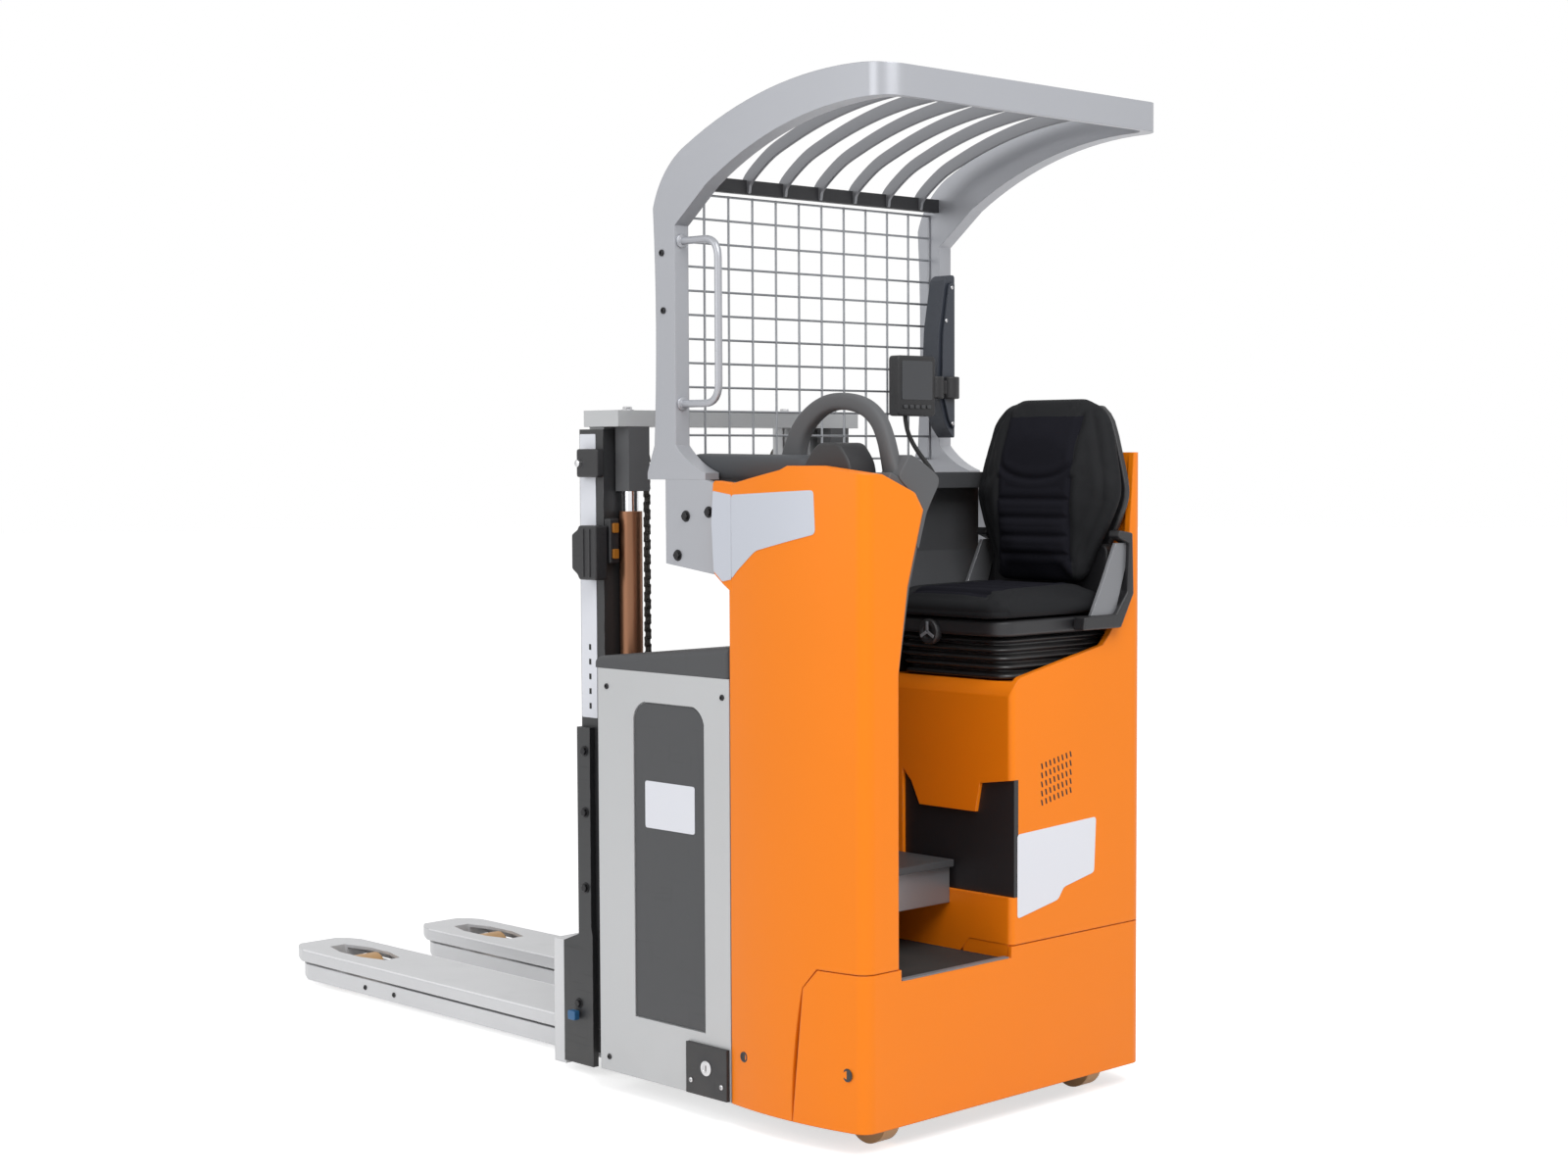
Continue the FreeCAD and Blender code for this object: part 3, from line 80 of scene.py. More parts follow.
class ForkliftColours(bpy.types.PropertyGroup):
    """Colours of the truck's finishes, as linear values."""

    def colour(label, about, value):
        return bpy.props.FloatVectorProperty(
            name=label, description=about, subtype="COLOR", size=3, min=0, max=1, default=value)

    body: colour("Body", "Orange powder coat of the body shells", (0.95, 0.235, 0.004))
    panels: colour("Panels", "Light grey coat of the guard, forks and battery panels", (0.52, 0.53, 0.54))
    trim: colour("Trim", "Dark grey moulded covers", (0.052, 0.054, 0.058))
    moulding: colour("Moulding", "Black moulded parts", (0.013, 0.013, 0.015))
    frame: colour("Frame", "Near-black coat of the chassis and outer mast", (0.022, 0.023, 0.025))
    seat: colour("Seat", "Seat fabric", (0.0125, 0.0125, 0.0170))
    tyre: colour("Tyre", "Polyurethane of the wheels", (0.60, 0.35, 0.15))
    steel: colour("Steel", "Bare and plated steel", (0.55, 0.55, 0.56))


class ForkliftSizes(bpy.types.PropertyGroup):
    """Sizes of the fittings and of the seat's padding."""

    def length(label, about, value):
        return bpy.props.FloatProperty(
            name=label, description=about, subtype="DISTANCE", unit="LENGTH", min=0, default=value)

    bolt: length("Bolt", "Radius of a fixing bolt's head over its corners", 0.0085)
    plate: length("Plate", "Thickness of a blank plate", 0.0012)
    wire: length("Wire", "Radius of the guard's mesh wires", 0.0024)
    insert: length("Insert", "Half the width of the seat's cloth inserts", 0.098)
    stuffing: length("Stuffing", "How far the seat's pads may swell", 0.024)
    groove: length("Groove", "Depth of the seat's sewn channels", 0.0042)
    fold: length("Fold", "Depth of the folds of the seat's bellows", 0.012)
    bar: length("Roof bar", "Depth of the guard's roof bars", 0.026)
    handle: length("Handle", "Radius of the grab handle's tube", 0.0075)
    pitch: length("Chain pitch", "Distance between the pins of the lift chains", 0.0159)


class ForkliftStage(bpy.types.PropertyGroup):
    """Camera and light levels of the studio."""

    eye: bpy.props.FloatVectorProperty(
        name="Camera place", description="Where the camera stands", subtype="TRANSLATION", unit="LENGTH",
        size=3, default=(-4.2732, 3.639, 1.3082))
    heading: bpy.props.FloatProperty(
        name="Heading", description="Direction of view, from forwards towards the left", subtype="ANGLE",
        default=math.radians(-44.82))
    dip: bpy.props.FloatProperty(
        name="Dip", description="How far the view looks down", subtype="ANGLE", default=math.radians(3.249))
    roll: bpy.props.FloatProperty(
        name="Roll", description="Turn of the camera about its view", subtype="ANGLE",
        default=math.radians(-0.158))
    lens: bpy.props.FloatProperty(
        name="Lens", description="Focal length on a 36 mm sensor", subtype="DISTANCE_CAMERA", default=57.13)
    shift: bpy.props.FloatVectorProperty(
        name="Shift", description="Offset of the picture from the view's middle, in picture widths",
        size=2, default=(-0.0412, 0.0058))
    key: bpy.props.FloatProperty(
        name="Key light", description="Power of the main soft box", unit="POWER", default=150)
    fill: bpy.props.FloatProperty(
        name="Fill light", description="Power of the fill soft box", unit="POWER", default=60)
    sky: bpy.props.FloatProperty(
        name="Room light", description="Strength of the even room light", default=0.48)


# node helpers

def add(tree, kind, across, down=0, **values):
    """Node at a grid place; values are its input sockets by name, or else its own settings."""
    node = tree.nodes.new(kind)
    node.location = (across * 200, -down * 180)
    for name, value in values.items():
        label = name.replace("_", " ")
        if label in node.inputs:
            node.inputs[label].default_value = value
        else:
            setattr(node, name, value)
    return node


def sums(tree, operation, across, down, *sources):
    """Math node fed by sockets or plain numbers; returns its output."""
    node = add(tree, "ShaderNodeMath", across, down, operation=operation)
    for number, source in enumerate(sources):
        if isinstance(source, bpy.types.NodeSocket):
            tree.links.new(source, node.inputs[number])
        else:
            node.inputs[number].default_value = source
    return node.outputs[0]


def remap(tree, across, down, source, low, high, to_low=0.0, to_high=1.0):
    """Map Range node from one span to another; returns its output."""
    node = add(tree, "ShaderNodeMapRange", across, down, From_Min=low, From_Max=high,
               To_Min=to_low, To_Max=to_high)
    tree.links.new(source, node.inputs["Value"])
    return node.outputs["Result"]


def blend_colour(tree, across, down, factor, first, second, how="MIX"):
    """Mix of two colours, each a socket or a colour; returns its output."""
    node = add(tree, "ShaderNodeMix", across, down, data_type="RGBA", blend_type=how)
    for socket, source in ((node.inputs[0], factor), (node.inputs[6], first), (node.inputs[7], second)):
        if isinstance(source, bpy.types.NodeSocket):
            tree.links.new(source, socket)
        elif isinstance(source, (int, float)):
            socket.default_value = source
        else:
            socket.default_value = (*source, 1)
    return node.outputs[2]


def start_group(name, inputs, outputs):
    """New node group with its sockets; returns the tree, its input node and its output node."""
    tree = bpy.data.node_groups.new(name, "ShaderNodeTree")
    for label, value in inputs.items():
        socket = tree.interface.new_socket(label, in_out="INPUT", socket_type="NodeSocketFloat")
        socket.default_value = value
    for label, kind in outputs.items():
        tree.interface.new_socket(label, in_out="OUTPUT", socket_type=f"NodeSocket{kind}")
    return tree, add(tree, "NodeGroupInput", 0), add(tree, "NodeGroupOutput", 10)


def noise(tree, across, down, scale, detail=3.0, stretch=(1, 1, 1)):
    """Noise over the piece's own metres, stretched along chosen axes; returns its output."""
    place = add(tree, "ShaderNodeTexCoord", across - 2, down)
    turn = add(tree, "ShaderNodeMapping", across - 1, down, Scale=stretch)
    node = add(tree, "ShaderNodeTexNoise", across, down, Detail=detail)
    tree.links.new(place.outputs["Object"], turn.inputs["Vector"])
    tree.links.new(turn.outputs["Vector"], node.inputs["Vector"])
    if isinstance(scale, bpy.types.NodeSocket):
        tree.links.new(scale, node.inputs["Scale"])
    else:
        node.inputs["Scale"].default_value = scale
    return node.outputs["Fac"]


# shared effects

def rounded_edges():
    """Group: edges shaded as if rounded, and a mask of the paint worn along them."""
    tree, given, out = start_group("Rounded Edges", {"Radius": 0.002, "Wear": 0.5},
                                   {"Normal": "Vector", "Mask": "Float"})
    bevel = add(tree, "ShaderNodeBevel", 1, samples=6)
    tree.links.new(given.outputs["Radius"], bevel.inputs["Radius"])
    flat = add(tree, "ShaderNodeNewGeometry", 1, 1)
    turn = add(tree, "ShaderNodeVectorMath", 2, 0, operation="DOT_PRODUCT")
    tree.links.new(bevel.outputs["Normal"], turn.inputs[0])
    tree.links.new(flat.outputs["Normal"], turn.inputs[1])
    edge = remap(tree, 3, 0, turn.outputs["Value"], 0.995, 0.80)
    patchy = remap(tree, 4, 1, noise(tree, 3, 2, 38, 5), 0.42, 0.66)
    worn = sums(tree, "MULTIPLY", 5, 0, edge, patchy)
    tree.links.new(sums(tree, "MULTIPLY", 6, 0, worn, given.outputs["Wear"]), out.inputs["Mask"])
    tree.links.new(bevel.outputs["Normal"], out.inputs["Normal"])
    return tree


def fine_grain():
    """Group: the fine pebbled grain of a moulded or powder-coated skin, and its slow colour drift."""
    tree, given, out = start_group("Fine Grain", {"Size": 900.0, "Drift": 3.0},
                                   {"Height": "Float", "Shade": "Float"})
    pebbles = noise(tree, 3, 0, given.outputs["Size"], 2)
    slow = noise(tree, 3, 2, given.outputs["Drift"], 2)
    tree.links.new(pebbles, out.inputs["Height"])
    tree.links.new(slow, out.inputs["Shade"])
    return tree


def handling_marks():
    """Group: thin scuffs and rubbed patches that roughen a surface."""
    tree, given, out = start_group("Handling Marks", {"Size": 9.0, "Amount": 0.4}, {"Mask": "Float"})
    long_marks = remap(tree, 4, 0, noise(tree, 3, 0, given.outputs["Size"], 8, (1, 1, 14)), 0.60, 0.72)
    cross_marks = remap(tree, 4, 2, noise(tree, 3, 2, given.outputs["Size"], 8, (12, 12, 1)), 0.61, 0.74)
    marks = sums(tree, "MAXIMUM", 5, 0, long_marks, cross_marks)
    tree.links.new(sums(tree, "MULTIPLY", 6, 0, marks, given.outputs["Amount"]), out.inputs["Mask"])
    return tree


def settled_dust():
    """Group: dust on faces that look up and near the floor."""
    tree, given, out = start_group("Settled Dust", {"Amount": 0.3, "Reach": 0.25}, {"Mask": "Float"})
    flat = add(tree, "ShaderNodeNewGeometry", 1)
    upward = add(tree, "ShaderNodeSeparateXYZ", 2)
    tree.links.new(flat.outputs["Normal"], upward.inputs[0])
    faces_up = remap(tree, 3, 0, upward.outputs["Z"], 0.6, 1.0)
    height = add(tree, "ShaderNodeSeparateXYZ", 2, 1)
    tree.links.new(flat.outputs["Position"], height.inputs[0])
    share = sums(tree, "DIVIDE", 3, 1, height.outputs["Z"], given.outputs["Reach"])
    near_floor = sums(tree, "SUBTRACT", 4, 1, 1.0, share)
    low = add(tree, "ShaderNodeClamp", 5, 1)
    tree.links.new(near_floor, low.inputs["Value"])
    either = sums(tree, "MAXIMUM", 6, 0, sums(tree, "MULTIPLY", 5, 0, faces_up, 0.6), low.outputs[0])
    patchy = remap(tree, 5, 2, noise(tree, 4, 3, 14, 6), 0.30, 0.75)
    dusty = sums(tree, "MULTIPLY", 7, 0, either, patchy)
    tree.links.new(sums(tree, "MULTIPLY", 8, 0, dusty, given.outputs["Amount"]), out.inputs["Mask"])
    return tree


def woven_cloth():
    """Group: over-and-under yarns of the seat fabric, as height and shade."""
    tree, given, out = start_group("Woven Cloth", {"Yarns": 2600.0}, {"Height": "Float", "Shade": "Float"})
    place = add(tree, "ShaderNodeTexCoord", 1)
    split = add(tree, "ShaderNodeSeparateXYZ", 2)
    tree.links.new(place.outputs["Object"], split.inputs[0])
    slope = sums(tree, "ADD", 3, 2, split.outputs["Y"], split.outputs["Z"])
    waves = []
    for down, source in ((0, split.outputs["X"]), (1, slope)):
        turned = sums(tree, "MULTIPLY", 4, down, source, given.outputs["Yarns"])
        waves.append(sums(tree, "SINE", 5, down, turned))
    woven = sums(tree, "MULTIPLY", 6, 0, *waves)
    fuzz = noise(tree, 6, 2, 1400, 2)
    raised = sums(tree, "MULTIPLY_ADD", 7, 0, woven, 0.35, fuzz)
    tree.links.new(raised, out.inputs["Height"])
    tree.links.new(remap(tree, 8, 1, raised, 0.1, 0.95), out.inputs["Shade"])
    return tree


GROUPS = {build.__name__: build() for build in (
    rounded_edges, fine_grain, handling_marks, settled_dust, woven_cloth)}


def effect(tree, name, across, down, **values):
    """Place a shared effect in a material with its own values."""
    node = add(tree, "ShaderNodeGroup", across, down, node_tree=GROUPS[name])
    for label, value in values.items():
        node.inputs[label].default_value = value
    return node


# finishes

# how much marks and dust roughen a finish, the share of dust in a dusty place's colour, and dust's own colour
MARKS_ROUGHEN, DUST_ROUGHENS, DUST_SHARE, DUST_COLOUR = 0.30, 0.35, 0.45, (0.26, 0.24, 0.21)


def finish(name, colour, rough, metal=0.0, coat=0.0, wear=0.0, bare=(0.35, 0.35, 0.36), grain=900.0,
           depth=0.02, edge=0.002, drift=0.06, dust=0.25, marks=0.25, cloth=None, specular=0.5):
    """Material of one finish: drifted base colour, wear, marks and dust over rounded, grained skin."""
    material = bpy.data.materials.new(name)
    material.use_nodes = True
    tree = material.node_tree
    shader = tree.nodes["Principled BSDF"]
    shader.location = (1400, 0)
    edges = effect(tree, "rounded_edges", 0, 0, Radius=edge, Wear=wear)
    skin = effect(tree, "woven_cloth", 0, 2, Yarns=cloth) if cloth else effect(
        tree, "fine_grain", 0, 2, Size=grain)
    rubbed = effect(tree, "handling_marks", 0, 3, Amount=marks)
    dusty = effect(tree, "settled_dust", 0, 4, Amount=dust)
    darker = tuple(part * (1 - drift) for part in colour)
    lighter = tuple(min(part * (1 + drift), 1) for part in colour)
    base = blend_colour(tree, 2, 0, skin.outputs["Shade"], darker, lighter)
    base = blend_colour(tree, 3, 0, edges.outputs["Mask"], base, bare)
    soil = Vector(colour).lerp(DUST_COLOUR, DUST_SHARE)
    base = blend_colour(tree, 4, 0, dusty.outputs["Mask"], base, soil)
    tree.links.new(base, shader.inputs["Base Color"])
    roughness = sums(tree, "MULTIPLY_ADD", 3, 2, rubbed.outputs["Mask"], MARKS_ROUGHEN, rough)
    roughness = sums(tree, "MULTIPLY_ADD", 4, 2, dusty.outputs["Mask"], DUST_ROUGHENS, roughness)
    tree.links.new(roughness, shader.inputs["Roughness"])
    bump = add(tree, "ShaderNodeBump", 5, 3, Strength=depth * 10, Distance=0.0004)
    tree.links.new(skin.outputs["Height"], bump.inputs["Height"])
    tree.links.new(edges.outputs["Normal"], bump.inputs["Normal"])
    tree.links.new(bump.outputs["Normal"], shader.inputs["Normal"])
    shader.inputs["Metallic"].default_value = metal
    shader.inputs["Coat Weight"].default_value = coat
    shader.inputs["Coat Roughness"].default_value = 0.12
    shader.inputs["Specular IOR Level"].default_value = specular
    return material


# materials by name, made once the scene holds its colours
FINISHES = {}
# nodes that wear another finish than their slot's
# the seat hinges and footrest box take the darker copy of the guard silver, which is painted shade
OWN_FINISHES = {
    "guard_frame": "guard_silver", "guard_brackets": "guard_silver", "seat_hinges": "shaded_guard_silver",
    "footrest_box": "shaded_guard_silver", "rod_heads": "soft_grip", "forks": "fork_silver",
    "load_arms": "fork_silver"}


def make_finishes():
    """Every finish of the truck by the record's slot names, and those of the small fittings."""
    colours = bpy.context.scene.forklift_colours
    # by name: colour, roughness, and where the finish departs from the usual values
    table = {
        "orange_paint": (colours.body, 0.42,
            dict(coat=0.06, wear=0.15, grain=650, depth=0.010, edge=0.004, drift=0.03, dust=0.06,
                marks=0.15, specular=0.25)),
        "light_grey_paint": (colours.panels, 0.38,
            dict(metal=0.25, wear=0.5, grain=700, depth=0.012, drift=0.04, dust=0.14, marks=0.3)),
        "dark_grey_panel": (colours.trim, 0.52, dict(grain=1500, depth=0.05, edge=0.003, drift=0.08)),
        "black_plastic": (colours.moulding, 0.46, dict(grain=1500, depth=0.05, edge=0.003, drift=0.1)),
        "dark_steel": (colours.frame, 0.42, dict(wear=0.5, grain=600, marks=0.4)),
        "black_rubber": ((0.016, 0.016, 0.016), 0.72, dict(grain=1100, depth=0.08)),
        "seat_cover": (colours.seat, 0.92,
            dict(cloth=2600.0, depth=0.03, edge=0.001, drift=0.35, dust=0.0, marks=0.0, specular=0.05)),
        # the steel's brownish orange tint is painted reflection of the orange body
        "cylinder_steel": ((0.26, 0.125, 0.07), 0.34, dict(metal=0.85, grain=500, depth=0.01, marks=0.4)),
        "chrome_rod": ((0.80, 0.80, 0.82), 0.12, dict(metal=1.0, grain=400, depth=0.004, dust=0.05)),
        "chain_steel": ((0.055, 0.05, 0.045), 0.40, dict(metal=0.75, depth=0.03, wear=0.4, edge=0.001)),
        "polyurethane": (colours.tyre, 0.42,
            dict(grain=420, depth=0.03, drift=0.12, edge=0.003, dust=0.5, marks=0.5)),
        "battery_case": ((0.016, 0.016, 0.018), 0.55, dict(grain=1200, depth=0.04)),
        "bolt_steel": (colours.steel, 0.30, dict(metal=1.0, depth=0.01, edge=0.0008)),
        "black_bolt": ((0.02, 0.02, 0.022), 0.36, dict(metal=0.6, depth=0.01, edge=0.0008)),
        "seat_vinyl": ((0.014, 0.0145, 0.016), 0.70,
            dict(grain=1300, depth=0.06, edge=0.001, drift=0.12, dust=0.0, marks=0.2, specular=0.12)),
        "bellows_rubber": ((0.013, 0.013, 0.014), 0.34, dict(depth=0.03, drift=0.15, marks=0.3)),
        "knob_grey": ((0.20, 0.21, 0.23), 0.42, dict(grain=1200, edge=0.0006)),
        "wire_zinc": ((0.30, 0.31, 0.33), 0.36, dict(metal=0.7, edge=0.0006, marks=0.3)),
        # painted shade: thin black sheets that stand in for the shade inside the vent slots, the key slot and
        # the mast strips' slots
        "hole_shade_black": ((0.004, 0.004, 0.004), 0.7, dict(edge=0.0004)),
        "screen_glass": ((0.010, 0.013, 0.020), 0.10,
            dict(coat=0.6, grain=300, depth=0.002, edge=0.0004, dust=0.05, marks=0.15)),
        "screen_case": ((0.030, 0.036, 0.050), 0.42, dict(grain=1300, depth=0.04)),
        "signal_red": ((0.42, 0.012, 0.010), 0.38, dict(grain=1200, edge=0.0006)),
        "plug_blue": ((0.020, 0.120, 0.28), 0.42, dict(grain=1200, depth=0.03, edge=0.001)),
        "guard_silver": ((0.40, 0.41, 0.44), 0.36,
            dict(metal=0.45, wear=0.3, grain=700, depth=0.010, drift=0.04, dust=0.08)),
        # painted shade: a darker copy of the guard silver for the roof bars, whose faces seen from below lie
        # in shade; the seat hinges and footrest box wear it too
        "shaded_guard_silver": ((0.22, 0.225, 0.24), 0.36,
            dict(metal=0.45, wear=0.5, grain=700, depth=0.010, drift=0.04, dust=0.0)),
        # painted highlight: the bright beads laid along the forks' top edges
        "painted_highlight_edge": ((0.85, 0.85, 0.87), 0.30,
            dict(metal=0.3, grain=700, depth=0.010, edge=0.0005, dust=0.0, marks=0.3)),
        "soft_grip": ((0.100, 0.102, 0.107), 0.58,
            dict(grain=1500, depth=0.05, edge=0.001, drift=0.08, dust=0.06, marks=0.2, specular=0.3)),
        "fork_silver": ((0.66, 0.665, 0.68), 0.36,
            dict(metal=0.25, wear=0.5, grain=700, depth=0.012, drift=0.04, dust=0.10, marks=0.3)),
        "pad_grey": ((0.060, 0.064, 0.070), 0.60,
            dict(grain=1500, depth=0.05, edge=0.001, drift=0.08, dust=0.0, marks=0.2, specular=0.25)),
        "silver_plate": ((0.58, 0.61, 0.68), 0.34,
            dict(grain=500, depth=0.006, drift=0.02, edge=0.0006, dust=0.0, marks=0.1)),
        "amber_plug": ((0.36, 0.13, 0.010), 0.42, dict(grain=1200, edge=0.0006)),
        "white_plate": ((0.78, 0.80, 0.86), 0.32,
            dict(grain=500, depth=0.006, drift=0.02, edge=0.0006, dust=0.05, marks=0.1)),
    }
    return {name: finish(name, tuple(colour), rough, **others)
            for name, (colour, rough, others) in table.items()}


# shape helpers

AHEAD, LEFT, UP = Vector((1, 0, 0)), Vector((0, 1, 0)), Vector((0, 0, 1))
BACK, RIGHT, DOWN = -AHEAD, -LEFT, -UP


def spot(station, side, height):
    """Place in the truck's frame of a station in metres ahead of the body's rear face."""
    return Vector((REAR_FACE + station, side, height))


def sizes():
    """The fittings' sizes as the scene holds them."""
    return bpy.context.scene.forklift_sizes


def placed(name, data):
    """Link a new object that holds some data into the scene."""
    made = bpy.data.objects.new(name, data)
    bpy.context.scene.collection.objects.link(made)
    return made


def settle(name, form, slot, *paints, body="chassis", bevel=0.0, levels=0, crease=35, replaced=()):
    """Turn a form into a piece of the truck with its finishes, riding on a body if it has one; the slot is
    not used.
    """
    mesh = bpy.data.meshes.new(name)
    form.to_mesh(mesh)
    form.free()
    piece = placed(name, mesh)
    for label in paints:
        mesh.materials.append(FINISHES[label])
    mesh.shade_smooth()
    mesh.set_sharp_from_angle(angle=math.radians(crease))
    if bevel:
        rounding = piece.modifiers.new("Rounded edges", "BEVEL")
        rounding.width = bevel
        rounding.segments = 3
        rounding.limit_method = "ANGLE"
        rounding.angle_limit = math.radians(crease)
        rounding.harden_normals = True
    if levels:
        finer = piece.modifiers.new("Finer", "SUBSURF")
        finer.levels = finer.render_levels = levels
    if replaced:
        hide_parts(*replaced)
    if body:
        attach(piece, body)
    return piece


def outward(form):
    """Turn a form's faces outwards and hand it on."""
    bmesh.ops.recalc_face_normals(form, faces=form.faces[:])
    return form


def bridged(form, rings, paint=0):
    """Join rings of corners one to the next and cap both ends."""
    form.faces.new(list(reversed(rings[0]))).material_index = paint
    form.faces.new(rings[-1]).material_index = paint
    for low, high in zip(rings, rings[1:]):
        for k in range(len(low)):
            nearby = (k + 1) % len(low)
            form.faces.new((low[k], low[nearby], high[nearby], high[k])).material_index = paint


def turned(form, profile, place, axis, sides=24, paint=0):
    """Add a turned shape: pairs of radius and height along an axis, closed where the radius is 0."""
    turn = UP.rotation_difference(Vector(axis).normalized()).to_matrix()
    rings = []
    for radius, height in profile:
        count = sides if radius else 1
        rings.append([form.verts.new(place + turn @ Vector((
            radius * math.cos(math.tau * k / sides), radius * math.sin(math.tau * k / sides), height)))
            for k in range(count)])
    for low, high in zip(rings, rings[1:]):
        for k in range(sides):
            corners = [low[k % len(low)], low[(k + 1) % len(low)],
                       high[(k + 1) % len(high)], high[k % len(high)]]
            kept = [corner for n, corner in enumerate(corners) if corner not in corners[:n]]
            form.faces.new(kept).material_index = paint


def head(form, place, axis, radius, *stages, paint=0):
    """Add a bolt's head: stages of a number of sides and a profile in shares of the radius."""
    for sides, profile in stages:
        turned(form, [(a * radius, b * radius) for a, b in profile], place, axis, sides, paint)


def hex_bolt(form, place, axis, radius):
    """Add a hexagonal bolt head with its washer."""
    head(form, place, axis, radius, (24, ((0, 0), (1.35, 0), (1.35, 0.14), (1.28, 0.2), (0, 0.2))),
         (6, ((0, 0.2), (1, 0.2), (1, 0.7), (0.86, 0.82), (0, 0.82))))


def socket_bolt(form, place, axis, radius, paint=0):
    """Add a domed socket head with a hexagonal hole."""
    head(form, place, axis, radius, (24, ((0, 0), (1, 0), (1, 0.28), (0.72, 0.52), (0.5, 0.55))),
         (6, ((0.5, 0.55), (0.46, 0.2), (0, 0.2))), paint=paint)


def slab(form, outline, place, across, up, thick, paint=0):
    """Add a flat plate from an outline of pairs across and up, raised along its normal."""
    across, up = Vector(across), Vector(up)
    normal = across.cross(up)
    bridged(form, [[form.verts.new(place + across * a + up * b + normal * raise_by) for a, b in outline]
                   for raise_by in (0, thick)], paint)


def softened(outline, radius, steps=4):
    """The outline with each corner rounded by short chords."""
    points = []
    for k, corner in enumerate(outline):
        here = Vector(corner)
        before = Vector(outline[k - 1]) - here
        after = Vector(outline[(k + 1) % len(outline)]) - here
        reach = min(radius, before.length / 2.2, after.length / 2.2)
        start, end = here + before.normalized() * reach, here + after.normalized() * reach
        for step in range(steps + 1):
            t = step / steps
            points.append(tuple(start * (1 - t) ** 2 + here * 2 * t * (1 - t) + end * t ** 2))
    return points


def oblong(wide, tall):
    """Outline of a rectangle about its own middle."""
    return [(-wide / 2, -tall / 2), (wide / 2, -tall / 2), (wide / 2, tall / 2), (-wide / 2, tall / 2)]


def flowing(points, steps=8):
    """Places of a smooth curve through the given ones, which may carry a width as a fourth value."""
    points = [Vector(point) for point in points]
    ends = [points[0] * 2 - points[1], *points, points[-1] * 2 - points[-2]]
    curve = []
    for a, b, c, d in zip(ends, ends[1:], ends[2:], ends[3:]):
        for step in range(steps):
            t = step / steps
            curve.append(((2 * b) + (c - a) * t + (2 * a - 5 * b + 4 * c - d) * t ** 2
                          + (3 * b - a - 3 * c + d) * t ** 3) / 2)
    return curve + [points[-1]]


def bent(points, radius, steps=6):
    """A run of places with its corners bent round a radius."""
    points = [Vector(point) for point in points]
    run = [points[0]]
    for before, here, after in zip(points, points[1:], points[2:]):
        start = here + (before - here).normalized() * radius
        end = here + (after - here).normalized() * radius
        run += [start * (1 - t) ** 2 + here * 2 * t * (1 - t) + end * t ** 2
                for t in (step / steps for step in range(steps + 1))]
    return run + [points[-1]]


def swept(form, path, side, section, paint=0):
    """Sweep a closed section along a path: section gives pairs out from the path and along a side."""
    side = Vector(side)
    rings = []
    for number, place in enumerate(path):
        before, after = path[max(number - 1, 0)], path[min(number + 1, len(path) - 1)]
        out = (after.xyz - before.xyz).normalized().cross(side)
        wide = place[3] if len(place) > 3 else 1
        rings.append([form.verts.new(place.xyz + out * a * wide + side * b) for a, b in section])
    bridged(form, rings, paint)
    outward(form)


def pebble(wide, thick, squareness=2.6, sides=20):
    """Section of a softly squared bar."""
    outline = []
    for k in range(sides):
        angle = math.tau * k / sides
        a, b = math.cos(angle), math.sin(angle)
        outline.append((math.copysign(abs(a) ** (2 / squareness), a) * wide / 2,
                        math.copysign(abs(b) ** (2 / squareness), b) * thick / 2))
    return outline


def surface_of(node):
    """A node of the frame as a surface that rays can meet."""
    return BVHTree.FromObject(frame["nodes"][node], bpy.context.evaluated_depsgraph_get())


def lay_on(form, node, direction, level, strips):
    """Wrap a flat form that stands on a level onto a node: cut it in strips along X, then drop it."""
    low = min(vert.co.x for vert in form.verts)
    high = max(vert.co.x for vert in form.verts)
    for step in range(1, strips):
        station = low + (high - low) * step / strips
        bmesh.ops.bisect_plane(form, geom=form.verts[:] + form.edges[:] + form.faces[:],
                               plane_co=(station, 0, 0), plane_no=AHEAD)
    surface = surface_of(node)
    # rays start this far before the flat form
    clear = 0.5
    for vert in form.verts:
        hit = surface.ray_cast(vert.co - direction * clear, direction)[0]
        if hit is None:
            raise RuntimeError(f"a plate hangs past the edge of {node}")
        vert.co = hit + direction * (vert.co.dot(direction) - level)


def landed(node, start, direction):
    """Where a ray from a place meets a node."""
    hit = surface_of(node).ray_cast(start, direction)[0]
    if hit is None:
        raise RuntimeError(f"nothing of {node} lies that way")
    return hit


# operators

class FORKLIFT_OT_finishes(bpy.types.Operator):
    """Give each node of the frame the finish of its slot in the record"""
    bl_idname = "forklift.finishes"
    bl_label = "Paint the frame"

    def execute(self, context):
        FINISHES.update(make_finishes())
        for part in frame["record"]["subparts"]:
            label = OWN_FINISHES.get(part["node"], part["material_slot"])
            for place in frame["nodes"][part["node"]].material_slots:
                place.material = FINISHES[label]
        return {"FINISHED"}


def soft_box(name, power, width, height, place, aim):
    """Area lamp of a size that looks from one place towards another."""
    lamp = bpy.data.lights.new(name, "AREA")
    lamp.shape = "RECTANGLE"
    lamp.size, lamp.size_y, lamp.energy = width, height, power
    holder = placed(name, lamp)
    holder.location = place
    holder.rotation_euler = (Vector(aim) - Vector(place)).to_track_quat("-Z", "Y").to_euler()


def shown_rays(tree, across, down):
    """1 for rays from the camera, and for those that metal or glass sends on."""
    path = add(tree, "ShaderNodeLightPath", across, down)
    either = sums(tree, "MAXIMUM", across + 1, down, path.outputs["Is Camera Ray"],
                  path.outputs["Is Glossy Ray"])
    return sums(tree, "MAXIMUM", across + 2, down, either, path.outputs["Is Transmission Ray"])


